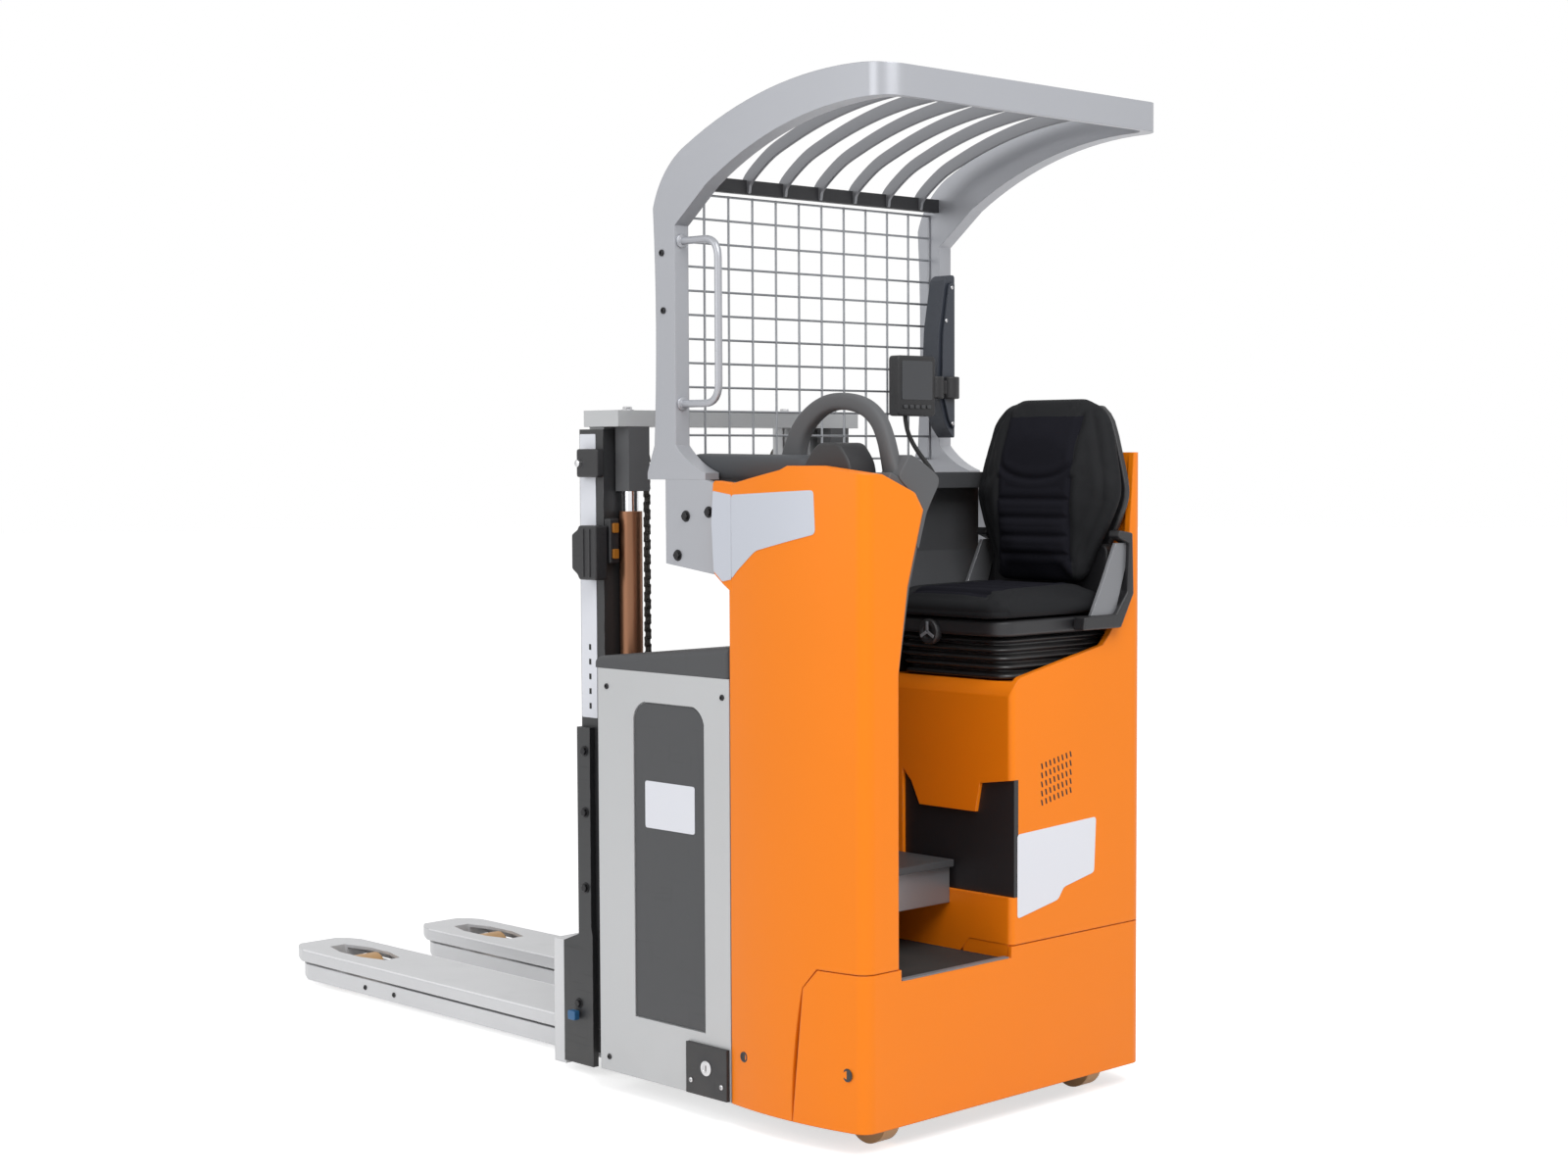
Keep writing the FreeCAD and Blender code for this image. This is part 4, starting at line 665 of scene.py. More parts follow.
def floor_material():
    """Pale floor that shows the truck's shadow and otherwise melts into the white backdrop."""
    material = bpy.data.materials.new("studio_floor")
    material.use_nodes = True
    tree = material.node_tree
    shader = tree.nodes["Principled BSDF"]
    shader.inputs["Base Color"].default_value = (0.80, 0.80, 0.80, 1)
    shader.inputs["Roughness"].default_value = 0.9
    shader.inputs["Specular IOR Level"].default_value = 0.1
    shader.inputs["Emission Color"].default_value = (1, 1, 1, 1)
    lift = sums(tree, "MULTIPLY", 3, 2, shown_rays(tree, 0, 2), 0.66)
    tree.links.new(lift, shader.inputs["Emission Strength"])
    return material


class FORKLIFT_OT_stage(bpy.types.Operator):
    """Set up the floor, the soft studio light and the camera at the photograph's angle"""
    bl_idname = "forklift.stage"
    bl_label = "Studio and camera"

    def execute(self, context):
        scene = context.scene
        stage = scene.forklift_stage
        floor = bmesh.new()
        bmesh.ops.create_circle(floor, cap_ends=True, radius=40, segments=96)
        mesh = bpy.data.meshes.new("studio_floor")
        floor.to_mesh(mesh)
        floor.free()
        mesh.materials.append(floor_material())
        placed("studio_floor", mesh)
        soft_box("key_light", stage.key, 3.0, 3.0, (-3.6, 1.2, 4.2), (0, 0, 0.8))
        soft_box("fill_light", stage.fill, 3.0, 3.0, (0.6, 4.6, 2.6), (0, 0, 0.9))
        world = bpy.data.worlds.new("studio")
        world.use_nodes = True
        tree = world.node_tree
        tree.nodes["Background"].inputs["Color"].default_value = (1, 1, 1, 1)
        strength = remap(tree, 4, 0, shown_rays(tree, 0, 0), 0, 1, stage.sky, 1.0)
        tree.links.new(strength, tree.nodes["Background"].inputs["Strength"])
        scene.world = world
        scene.view_settings.view_transform = "Standard"
        lens = bpy.data.cameras.new("camera")
        lens.lens = stage.lens
        lens.sensor_width = 36
        lens.shift_x, lens.shift_y = stage.shift
        lens.clip_end = 100
        camera = placed("camera", lens)
        aim = Euler((math.pi / 2 - stage.dip, 0, stage.heading - math.pi / 2)).to_matrix()
        aim = aim @ Matrix.Rotation(stage.roll, 3, "Z")
        camera.matrix_world = Matrix.Translation(stage.eye) @ aim.to_4x4()
        scene.camera = camera
        return {"FINISHED"}


# seat

# size of the remeshed cloth's squares, its stuffing's pressure, and how many frames it takes to settle
CLOTH_SQUARE, CLOTH_PRESSURE, CLOTH_FRAMES = 0.0055, 4.0, 20
# distance between the places at which a seam is sampled, its half width, and the swelling beside it
SEAM_STEP, SEAM_WIDTH, SEAM_SWELL = 0.002, 0.0055, 0.0016
# where the swelling is highest and how far it spreads, in half widths of the seam
SWELL_AT, SWELL_SPREAD = 2.6, 1.5


def puffed(piece, held, most):
    """Remesh a closed form finely and blow it up as stuffed cloth, held where the test says."""
    remesh = piece.modifiers.new("Fine cloth", "REMESH")
    remesh.mode = "VOXEL"
    remesh.voxel_size = CLOTH_SQUARE
    apply_modifiers(piece)
    start = [vert.co.copy() for vert in piece.data.vertices]
    group = piece.vertex_groups.new(name="held")
    group.add([number for number, place in enumerate(start) if held(place)], 1.0, "REPLACE")
    cloth = piece.modifiers.new("Stuffing", "CLOTH").settings
    cloth.use_pressure = True
    cloth.uniform_pressure_force = CLOTH_PRESSURE
    cloth.vertex_group_mass = "held"
    cloth.effector_weights.gravity = 0
    for number in range(1, CLOTH_FRAMES + 1):
        bpy.context.scene.frame_set(number)
    apply_modifiers(piece)
    bpy.context.scene.frame_set(1)
    for vert, place in zip(piece.data.vertices, start):
        moved = vert.co - place
        if moved.length > most:
            vert.co = place + moved.normalized() * most
    piece.vertex_groups.clear()
    ease = piece.modifiers.new("Taut cloth", "SMOOTH")
    ease.factor = 0.5
    ease.iterations = 24
    apply_modifiers(piece)


def apply_modifiers(piece):
    """Replace the piece's mesh by what its modifiers make of it."""
    graph = bpy.context.evaluated_depsgraph_get()
    graph.update()
    made = bpy.data.meshes.new_from_object(piece.evaluated_get(graph))
    old, piece.data = piece.data, made
    made.name = old.name
    bpy.data.meshes.remove(old)
    piece.modifiers.clear()


def sew(piece, seams, flatten, facing, depth):
    """Press sewn channels into the side of a pad that faces one way; seams are polylines in its plane."""
    samples = []
    for seam in seams:
        for start, end in zip(seam, seam[1:]):
            start, end = Vector((*start, 0)), Vector((*end, 0))
            count = max(int((end - start).length / SEAM_STEP), 1)
            samples += [start.lerp(end, step / count) for step in range(count + 1)]
    tree = KDTree(len(samples))
    for number, place in enumerate(samples):
        tree.insert(place, number)
    tree.balance()
    normals = [vert.normal.copy() for vert in piece.data.vertices]
    for vert, normal in zip(piece.data.vertices, normals):
        if normal.dot(facing) < 0.25:
            continue
        apart = tree.find(Vector((*flatten(vert.co), 0)))[2] / SEAM_WIDTH
        swell = SEAM_SWELL * math.exp(-((apart - SWELL_AT) / SWELL_SPREAD) ** 2)
        vert.co += normal * (swell - depth * math.exp(-apart ** 2))


def pad_form(outline, low, high, place_of, crown):
    """Closed pad from an outline, drawn in at both faces so that its rim is round."""
    form = bmesh.new()
    middle = Vector((sum(a for a, b in outline) / len(outline), sum(b for a, b in outline) / len(outline)))
    layers = []
    steps = 6
    for step in range(steps + 1):
        t = step / steps
        level = low + (high - low) * t
        drawn = 1 - crown * (abs(2 * t - 1) ** 3)
        layers.append([form.verts.new(place_of(*(middle + (Vector(point) - middle) * drawn), level))
                       for point in outline])
    bridged(form, layers)
    return outward(form)


def cover_faces(piece, inside):
    """Give the cloth insert's faces the second finish."""
    for face in piece.data.polygons:
        face.material_index = 1 if inside(face.center, face.normal) else 0


def raise_finer(piece):
    """Subdivide a padded piece once, for good, and shade it smooth."""
    finer = piece.modifiers.new("Finer", "SUBSURF")
    finer.levels = finer.render_levels = 1
    apply_modifiers(piece)
    piece.data.shade_smooth()


def back_half(share):
    """Half the width of the seat's back at a share of its height."""
    knots = ((0.0, 0.105), (0.03, 0.118), (0.15, 0.136), (0.30, 0.166), (0.44, 0.190), (0.52, 0.192),
             (0.62, 0.183), (0.80, 0.164), (0.88, 0.153), (0.94, 0.137), (0.98, 0.112), (1.0, 0.085))
    for (low, near), (high, far) in zip(knots, knots[1:]):
        if share <= high:
            return near + (far - near) * (share - low) / (high - low)
    return knots[-1][1]


class FORKLIFT_OT_seat_back(bpy.types.Operator):
    """Stuff and sew the seat's back, with its cloth insert and channels"""
    bl_idname = "forklift.seat_back"
    bl_label = "Seat back"

    def execute(self, context):
        low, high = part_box("seat_back")
        foot = low.z - 0.016
        middle, tall = (low.x + high.x) / 2, high.z + 0.016 - foot
        lean = 0.040
        front = high.y - 0.018
        rear = low.y + lean + 0.010
        heights = [step / 24 for step in range(25)]
        side = [(back_half(share), foot + share * tall) for share in heights]
        outline = [(middle + half, height) for half, height in side]
        outline += [(middle - half, height) for half, height in reversed(side)]

        def leaning(across, up, depth):
            return Vector((across, depth - lean * (up - foot) / tall, up))

        form = pad_form(outline, rear, front, leaning, crown=0.05)
        piece = settle("seat_back_pad", form, "seat_cover", "seat_vinyl", "seat_cover",
                       replaced=("seat_back",))
        puffed(piece, lambda place: place.y < (rear + front) / 2 - lean * (place.z - foot) / tall,
               sizes().stuffing)
        raise_finer(piece)
        half = sizes().insert
        top, sag = high.z - 0.022, 0.040
        oval = [(middle - half, top)] + [
            (middle - half * math.cos(math.pi * step / 24),
             high.z - 0.110 - sag * math.sin(math.pi * step / 24))
            for step in range(25)] + [(middle + half, top)]
        sides = [[(middle + sign * half, high.z - 0.150), (middle + sign * half * 0.97, low.z + 0.030)]
                 for sign in (-1, 1)]
        channels = [[(middle - half * 0.97, low.z + rise), (middle + half * 0.97, low.z + rise)]
                    for rise in (0.156, 0.118, 0.080, 0.042)]
        rim = [[(middle + sign * (back_half(share) - 0.026), foot + share * tall)
                for share in heights[2:-2]] for sign in (-1, 1)]
        for seams, depth in (([oval, *sides, *channels], sizes().groove), (rim, sizes().groove * 0.5)):
            sew(piece, seams, lambda place: (place.x, place.z), LEFT, depth)
        cover_faces(piece, lambda place, normal: normal.y > 0.2 and abs(place.x - middle) < half
                    and place.z < top)

        form = bmesh.new()
        shell = [(middle + half - 0.012, height) for half, height in side[1:-1]]
        shell += [(middle - half + 0.012, height) for half, height in reversed(side[1:-1])]
        slab(form, [(-a, b) for a, b in shell], Vector((0, low.y, 0)), BACK, UP, 0.016)
        slab(form, softened(oblong(0.310, 0.140), 0.02), Vector((middle, low.y + 0.014, foot + 0.010)),
             BACK, UP, 0.030)
        settle("seat_back_shell", outward(form), "black_plastic", "black_plastic", bevel=0.005)
        return {"FINISHED"}


class FORKLIFT_OT_seat_cushion(bpy.types.Operator):
    """Stuff and sew the seat's cushion, with its rolled front"""
    bl_idname = "forklift.seat_cushion"
    bl_label = "Seat cushion"

    def execute(self, context):
        low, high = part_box("seat_cushion")
        middle, half = (low.x + high.x) / 2, (high.x - low.x) / 2 - 0.010
        back, front = low.y + 0.008, high.y - 0.012
        outline = softened([(middle - half, back), (middle + half, back), (middle + half, front),
                            (middle - half, front)], 0.05, 8)

        def lying(across, along, level):
            sunk = 0.012 * max(0.0, (along - front + 0.09) / 0.09) ** 2
            return Vector((across, along, level - sunk * (level - low.z) / (high.z - low.z)))

        form = pad_form(outline, low.z + 0.004, high.z - 0.016, lying, crown=0.035)
        piece = settle("seat_cushion_pad", form, "seat_cover", "seat_vinyl", "seat_cover",
                       replaced=("seat_cushion",))
        puffed(piece, lambda place: place.z < (low.z + high.z) / 2 - 0.012, sizes().stuffing * 0.5)
        raise_finer(piece)
        insert = sizes().insert
        sides = [[(middle + sign * insert, back + 0.03), (middle + sign * insert * 1.12, front - 0.035)]
                 for sign in (-1, 1)]
        across = [[(middle - insert * 1.05, front - inward), (middle + insert * 1.05, front - inward)]
                  for inward in (0.045, 0.105, 0.165, 0.225)]
        sew(piece, sides + across, lambda place: (place.x, place.y), UP, sizes().groove)
        sew(piece, [[(middle - half, 0), (middle + half, 0)]],
            lambda place: (place.x, place.z - low.z - 0.016), LEFT, sizes().groove * 0.6)
        cover_faces(piece, lambda place, normal: normal.z > 0.3 and abs(place.x - middle) < insert * 1.05
                    and place.y < front - 0.03)
        return {"FINISHED"}


def spokes(count, start):
    """Directions spread round the Y axis, the first at a start angle."""
    angles = [math.tau * number / count + start for number in range(count)]
    return [Vector((math.cos(angle), 0, math.sin(angle))) for angle in angles]


class FORKLIFT_OT_seat_base(bpy.types.Operator):
    """Fold the suspension's bellows under a moulded seat pan, with the weight knob and the back's shell"""
    bl_idname = "forklift.seat_base"
    bl_label = "Seat bellows, pan and knob"

    def execute(self, context):
        low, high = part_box("seat_base")
        cushion_low, cushion_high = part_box("seat_cushion")
        fold = sizes().fold
        middle, half = (low.x + high.x) / 2, (high.x - low.x) / 2
        front, back = high.y - 0.024, low.y
        form = bmesh.new()
        profile = [(low.z, fold * 1.2), (low.z + 0.004, 0.0)]
        folds = 5
        pitch = (high.z - low.z - 0.034) / folds
        for number in range(folds):
            base = low.z + 0.006 + number * pitch
            profile += [(base + pitch * rise, fold * inward) for rise, inward in (
                (0.15, 0.0), (0.45, 0.25), (0.62, 1.0), (0.85, 1.05), (1.0, 0.3))]
        rings = []
        for level, inset in profile:
            sunk = 0.020 * max(0.0, 1 - (level - low.z) / 0.06)
            wide, near, far = half - inset, back + inset, front - inset - sunk
            ring = softened([(middle - wide, near), (middle + wide, near), (middle + wide, far),
                             (middle - wide, far)], 0.045, 6)
            rings.append([form.verts.new((a, b, level)) for a, b in ring])
        bridged(form, rings)
        settle("seat_bellows", form, "black_rubber", "bellows_rubber", crease=60, levels=1,
               replaced=("seat_base",))

        form = bmesh.new()
        rim = 0.012
        pan = softened([(middle - half - rim, back), (middle + half + rim, back),
                        (middle + half + rim, front + rim), (middle - half - rim, front + rim)], 0.05, 8)
        slab(form, pan, Vector((0, 0, high.z - 0.032)), AHEAD, LEFT, 0.0315)
        settle("seat_pan", form, "black_plastic", "black_plastic", bevel=0.007)

        form = bmesh.new()
        knob = Vector((middle + 0.028, high.y - 0.030, high.z - 0.028))
        radius = 0.026
        turned(form, [(0.012, 0), (0.012, 0.010), (radius * 0.96, 0.012), (radius, 0.015), (radius, 0.024),
                      (radius * 0.9, 0.028), (radius * 0.55, 0.028), (radius * 0.5, 0.024), (0, 0.024)],
               knob, LEFT, 40)
        for out in spokes(12, 0):
            slab(form, oblong(0.005, 0.012), knob + out * radius * 0.98 + LEFT * 0.0195,
                 out.cross(LEFT), LEFT, 0.0022)
        for out in spokes(3, math.pi / 2):
            slab(form, oblong(0.019, 0.0065), knob + LEFT * 0.0282 + out * 0.011,
                 out, LEFT.cross(out), 0.0016, 1)
        settle("weight_knob", form, "black_plastic", "black_plastic", "knob_grey", bevel=0.0008)

        form = bmesh.new()
        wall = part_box("seat_hinges")[0].y
        for sign in (-1, 1):
            station = middle + sign * (cushion_high.x - cushion_low.x) / 2
            outline = [(wall + across, height) for across, height in (
                (0.150, 0.958), (0.145, 0.984), (0.046, 0.986), (0.010, 1.030), (0.004, 1.128),
                (0.040, 1.142), (0.036, 1.156), (-0.006, 1.150), (-0.010, 1.026), (0.030, 0.958))]
            slab(form, outline[::sign], Vector((station - sign * 0.012, 0, 0)), LEFT, UP, 0.030 * sign)
        settle("seat_shell", outward(form), "black_plastic", "black_plastic", bevel=0.004)
        return {"FINISHED"}


# guard mesh and chains

class FORKLIFT_OT_mesh(bpy.types.Operator):
    """Weld the guard's mesh from round wires, the level ones behind the upright ones"""
    bl_idname = "forklift.mesh"
    bl_label = "Guard mesh"

    def execute(self, context):
        low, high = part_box("guard_mesh")
        radius = sizes().wire
        wide, tall = high.y - low.y, high.z - low.z
        form = bmesh.new()
        cells = 11
        for number in range(cells + 1):
            side = low.y + radius + (wide - 2 * radius) * number / cells
            turned(form, [(0, 0), (radius, 0), (radius, tall), (0, tall)],
                   Vector((low.x + radius, side, low.z)), UP, 8)
        for number in range(cells + 1):
            height = low.z + radius + (tall - 2 * radius) * number / cells
            turned(form, [(0, 0), (radius, 0), (radius, wide), (0, wide)],
                   Vector((high.x - radius, low.y, height)), LEFT, 8)
        settle("mesh_wires", form, "light_grey_paint", "wire_zinc", replaced=("guard_mesh",))
        return {"FINISHED"}


def leaf_plate(form, middle, length, tall, thick):
    """Add one figure-of-eight plate of a leaf chain."""
    waist = tall * 0.36
    outline = []
    for sign in (1, -1):
        outline += [(sign * tall / 2 * math.cos(math.pi * k / 8),
                     sign * (length / 2 + tall / 2 * math.sin(math.pi * k / 8))) for k in range(9)]
        outline.append((-sign * waist, 0.0))
    slab(form, outline, middle - Vector((0, thick / 2, 0)), BACK, UP, thick)


class FORKLIFT_OT_chains(bpy.types.Operator):
    """Lace the leaf chains from plates and pins"""
    bl_idname = "forklift.chains"
    bl_label = "Lift chains"

    def execute(self, context):
        pitch, strand, thick = sizes().pitch, 0.016, 0.0020
        # how far the plates of a link stand from the strand's middle, in turns
        stacks = ((-0.0038, 0.0014, 0.0064), (-0.0064, -0.0012, 0.0040))
        long = strand - 0.0002
        pin = ((0, 0), (0.0018, 0), (0.0022, 0.0004), (0.0022, long - 0.0004), (0.0018, long), (0, long))
        for node, body in (("chains_rear", None), ("chains_front", "inner_mast")):
            low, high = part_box(node)
            station, deep, tall = (low.x + high.x) / 2, high.x - low.x, high.z - low.z
            form = bmesh.new()
            count = int((tall - deep) / pitch)
            start = low.z + (tall - count * pitch) / 2
            for side in (high.y - strand / 2, low.y + strand / 2):
                for number in range(count):
                    for offset in stacks[number % 2]:
                        middle = Vector((station, side + offset, start + (number + 0.5) * pitch))
                        leaf_plate(form, middle, pitch, deep * 0.86, thick)
                for number in range(count + 1):
                    turned(form, pin, Vector((station, side - long / 2, start + number * pitch)), LEFT, 8)
            piece = settle(f"leaf_{node}", outward(form), "chain_steel", "chain_steel", body=body,
                           replaced=(node,))
            if body is None:
                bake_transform(piece)
            else:
                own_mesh(piece)
        return {"FINISHED"}


# plates, vents and holes

def tapered(form):
    """Let the outer side of a form on the pillar's nose draw in forwards, as the flank behind it does."""
    outer, start, slope = 0.41, 0.345, 0.105
    for vert in form.verts:
        if vert.co.y > outer:
            vert.co.y -= slope * (vert.co.x - REAR_FACE - start)
    return outward(form)


class FORKLIFT_OT_plates(bpy.types.Operator):
    """Fix the blank plates to the body and the battery panel"""
    bl_idname = "forklift.plates"
    bl_label = "Blank plates"

    def execute(self, context):
        thick = sizes().plate
        outline = [(0.3445, 1.234), (0.115, 1.245), (0.111, 1.163), (0.269, 1.128), (0.330, 1.085),
                   (0.3445, 1.071)]
        form = bmesh.new()
        level = 0.5
        rounded = [(REAR_FACE + a, b) for a, b in softened(outline, 0.009)]
        slab(form, list(reversed(rounded)), Vector((0, level, 0)), AHEAD, UP, -thick)
        lay_on(form, "console_pillar", RIGHT, -level, 10)
        settle("flank_plate", outward(form), "light_grey_paint", "silver_plate", bevel=0.0004)

        form = bmesh.new()
        nose = [(0.346, 1.256), (0.398, 1.261), (0.405, 1.256), (0.4095, 1.180), (0.4025, 1.080),
                (0.372, 1.060), (0.346, 1.046)]
        slab(form, softened(nose, 0.004), spot(0, 0.4235, 0), AHEAD, UP, 0.0233)
        settle("flank_nose", tapered(form), "orange_paint", "orange_paint", bevel=0.003)

        form = bmesh.new()
        front = [(0.345, 1.234), (0.4035, 1.241), (0.409, 1.180), (0.4022, 1.085), (0.374, 1.066),
                 (0.345, 1.071)]
        slab(form, softened(front, 0.003), spot(0, 0.4235 + thick, 0), AHEAD, UP, thick)
        settle("flank_plate_front", tapered(form), "light_grey_paint", "silver_plate", bevel=0.0002)

        form = bmesh.new()
        rear = [(-0.017, 0.564), (-0.258, 0.575), (-0.252, 0.462), (-0.157, 0.443), (-0.140, 0.420),
                (-0.017, 0.397)]
        slab(form, softened(rear, 0.008), spot(0, 0, 0), LEFT, UP, -thick)
        settle("rear_plate", outward(form), "light_grey_paint", "white_plate", bevel=0.0004)

        form = bmesh.new()
        panel = landed("inset_panels", spot(0.535, 1, 0.61), RIGHT)
        slab(form, softened(oblong(0.150, 0.095), 0.006), panel, BACK, UP, thick)
        settle("battery_plate", form, "light_grey_paint", "white_plate", bevel=0.0004)
        return {"FINISHED"}


class FORKLIFT_OT_openings(bpy.types.Operator):
    """Add the vent slots, the plugged holes and the keyhole"""
    bl_idname = "forklift.openings"
    bl_label = "Vent, plugs and keyhole"

    def execute(self, context):
        # vent slots as thin black sheets on the rear face: painted shade standing in for the openings
        form = bmesh.new()
        columns, rows, across, up, lean = 8, 5, 0.0125, 0.0182, 0.0024
        for column in range(columns):
            for row in range(rows):
                side = -0.091 - column * across
                height = 0.620 + row * up + column * lean
                slab(form, softened(oblong(0.0042, 0.0125), 0.002, 3), spot(0, side, height),
                     RIGHT, (0, 0.25, 0.97), 0.0003)
        settle("vent_slots", form, "black_plastic", "hole_shade_black")

        form = bmesh.new()
        for node, station, height, radius in (
                ("rear_skirt", 0.042, 0.155, 0.011), ("console_pillar", 0.312, 0.146, 0.009)):
            profile = [(radius * share, level) for share, level in (
                (1.15, -0.0005), (1.15, 0.0008), (1, 0.0016), (0.8, 0.0016), (0.72, 0.0003), (0, 0.0003))]
            turned(form, profile, landed(node, spot(station, 1, height), RIGHT), LEFT, 28)
        settle("hole_plugs", form, "black_plastic", "black_plastic")

        form = bmesh.new()
        low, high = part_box("battery_lock")
        place = Vector(((low.x + high.x) / 2, high.y, (low.z + high.z) / 2 + 0.006))
        turned(form, [(0.015, 0), (0.015, 0.0015), (0.0125, 0.0025), (0.0085, 0.0025), (0.008, 0.0012),
                      (0, 0.0012)], place, LEFT, 36)
        # the key slot is a thin black sheet: painted shade of the keyhole's opening
        slab(form, oblong(0.0024, 0.012), place + Vector((0, 0.0013, 0)), BACK, UP, 0.0003, 1)
        for sign in (-1, 1):
            socket_bolt(form, place + Vector((sign * 0.045, 0, -0.030)), LEFT, 0.005)
        settle("keyhole", form, "black_plastic", "bolt_steel", "hole_shade_black")
        return {"FINISHED"}


class FORKLIFT_OT_bolts(bpy.types.Operator):
    """Drive in the bolts of the brackets, uprights, mast and forks"""
    bl_idname = "forklift.bolts"
    bl_label = "Bolts and screws"

    def execute(self, context):
        radius = sizes().bolt
        # a piece of bolts: name, slot, bevel, and rows of bolt, node, pairs of station and height, and radius
        for name, slot, bevel, rows in (
                ("guard_bolts", "dark_steel", 0.0003, (
                    (hex_bolt, "guard_brackets", ((0.504, 1.190), (0.436, 1.199), (0.529, 1.112)), radius),
                    (socket_bolt, "guard_frame", ((0.572, 1.711), (0.568, 1.597)), radius * 0.8))),
                ("panel_screws", "dark_steel", 0.0003, (
                    (socket_bolt, "battery_panels", ((0.728, 0.075), (0.728, 0.840), (0.376, 0.840)), 0.006),
                    (hex_bolt, "mast_foot_plates",
                     ((0.874, 0.690), (0.874, 0.560), (0.874, 0.400), (0.900, 0.150)), radius))),
                ("arm_screws", "light_grey_paint", 0.0, (
                    (socket_bolt, "load_arms", ((1.83, 0.030), (1.71, 0.030)), 0.006),))):
            form = bmesh.new()
            for bolt, node, places, size in rows:
                for sign in (-1, 1):
                    for station, height in places:
                        place = landed(node, spot(station, sign, height), RIGHT * sign)
                        bolt(form, place, LEFT * sign, size)
            settle(name, form, slot, "black_bolt", bevel=bevel)

        form = bmesh.new()
        low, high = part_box("mast_inner")
        for side in (-0.30, -0.15, 0.15, 0.30):
            hex_bolt(form, Vector((low.x + 0.030, side, high.z)), UP, 0.010)
        settle("tie_bolts", form, "cylinder_steel", "bolt_steel", body="inner_mast", bevel=0.0004)
        return {"FINISHED"}


# terminal, console and handle

class FORKLIFT_OT_terminal(bpy.types.Operator):
    """Build the driver's terminal with its keys, arm and lead, and the cover behind it"""
    bl_idname = "forklift.terminal"
    bl_label = "Driver's terminal"

    def execute(self, context):
        low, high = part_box("terminal")
        wide, tall = 0.116, 0.129
        place = Vector((low.x, high.y - wide / 2, 1.3925 + tall / 2))
        form = bmesh.new()
        slab(form, softened(oblong(wide, tall), 0.010), place + Vector((0.032, 0, 0)), LEFT, UP, -0.030)
        settle("terminal_case", outward(form), "black_plastic", "black_plastic", bevel=0.004,
               replaced=("terminal",))

        form = bmesh.new()
        face = place + Vector((0.0018, 0, 0.012))
        slab(form, softened(oblong(wide - 0.022, tall - 0.046), 0.004), face, RIGHT, UP, 0.0006)
        for number in range(5):
            key = place + Vector((0.0018, (number - 2) * 0.018, -tall / 2 + 0.020))
            slab(form, softened(oblong(0.012, 0.008), 0.002), key, RIGHT, UP, 0.0016, 1)
        settle("terminal_face", outward(form), "black_plastic", "screen_glass", "dark_grey_panel",
               bevel=0.0004)

        form = bmesh.new()
        knuckle = place + Vector((0.016, -wide / 2 - 0.012, -0.002))
        for side, radius in ((0, 0.020), (-0.046, 0.022)):
            turned(form, [(0, -0.024), (radius, -0.024), (radius, 0.024), (0, 0.024)],
                   knuckle + Vector((0, side, 0)), UP, 28)
        slab(form, oblong(0.060, 0.030), knuckle + Vector((-0.009, -0.024, 0)), LEFT, UP, 0.018)
        settle("terminal_arm", form, "black_plastic", "black_plastic", bevel=0.003)

        form = bmesh.new()
        outline = [(0, 1.342), (0.028, 1.372), (0.056, 1.45), (0.050, 1.58), (0.030, 1.690), (0.016, 1.6995),
                   (0, 1.6995)]
        slab(form, softened(outline, 0.012), Vector((high.x, low.y, 0)), LEFT, UP, -0.045)
        inner = [(0.007, 1.362), (0.024, 1.384), (0.047, 1.455), (0.042, 1.575), (0.024, 1.680),
                 (0.007, 1.686)]
        slab(form, softened(inner, 0.010), Vector((high.x - 0.046, low.y, 0)), LEFT, UP, -0.006)
        for side, height in ((0.014, 1.378), (0.036, 1.440), (0.034, 1.600), (0.016, 1.672)):
            socket_bolt(form, Vector((high.x - 0.052, low.y + side, height)), BACK, 0.0042, 1)
        settle("upright_cover", outward(form), "black_plastic", "screen_case", "bolt_steel", bevel=0.003)

        route = [spot(0.486, -0.206, 1.397), spot(0.486, -0.209, 1.368), spot(0.481, -0.224, 1.334),
                 spot(0.468, -0.242, 1.302), spot(0.452, -0.251, 1.280), spot(0.442, -0.253, 1.262)]
        line = bpy.data.curves.new("terminal_cable", "CURVE")
        line.dimensions = "3D"
        line.bevel_depth = 0.005
        line.use_fill_caps = True
        spline = line.splines.new("NURBS")
        spline.points.add(len(route) - 1)
        for point, place in zip(spline.points, route):
            point.co = (*place, 1)
        spline.order_u = 3
        spline.use_endpoint_u = True
        line.materials.append(FINISHES["black_rubber"])
        cable = placed("terminal_cable", line)
        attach(cable, "chassis")
        return {"FINISHED"}


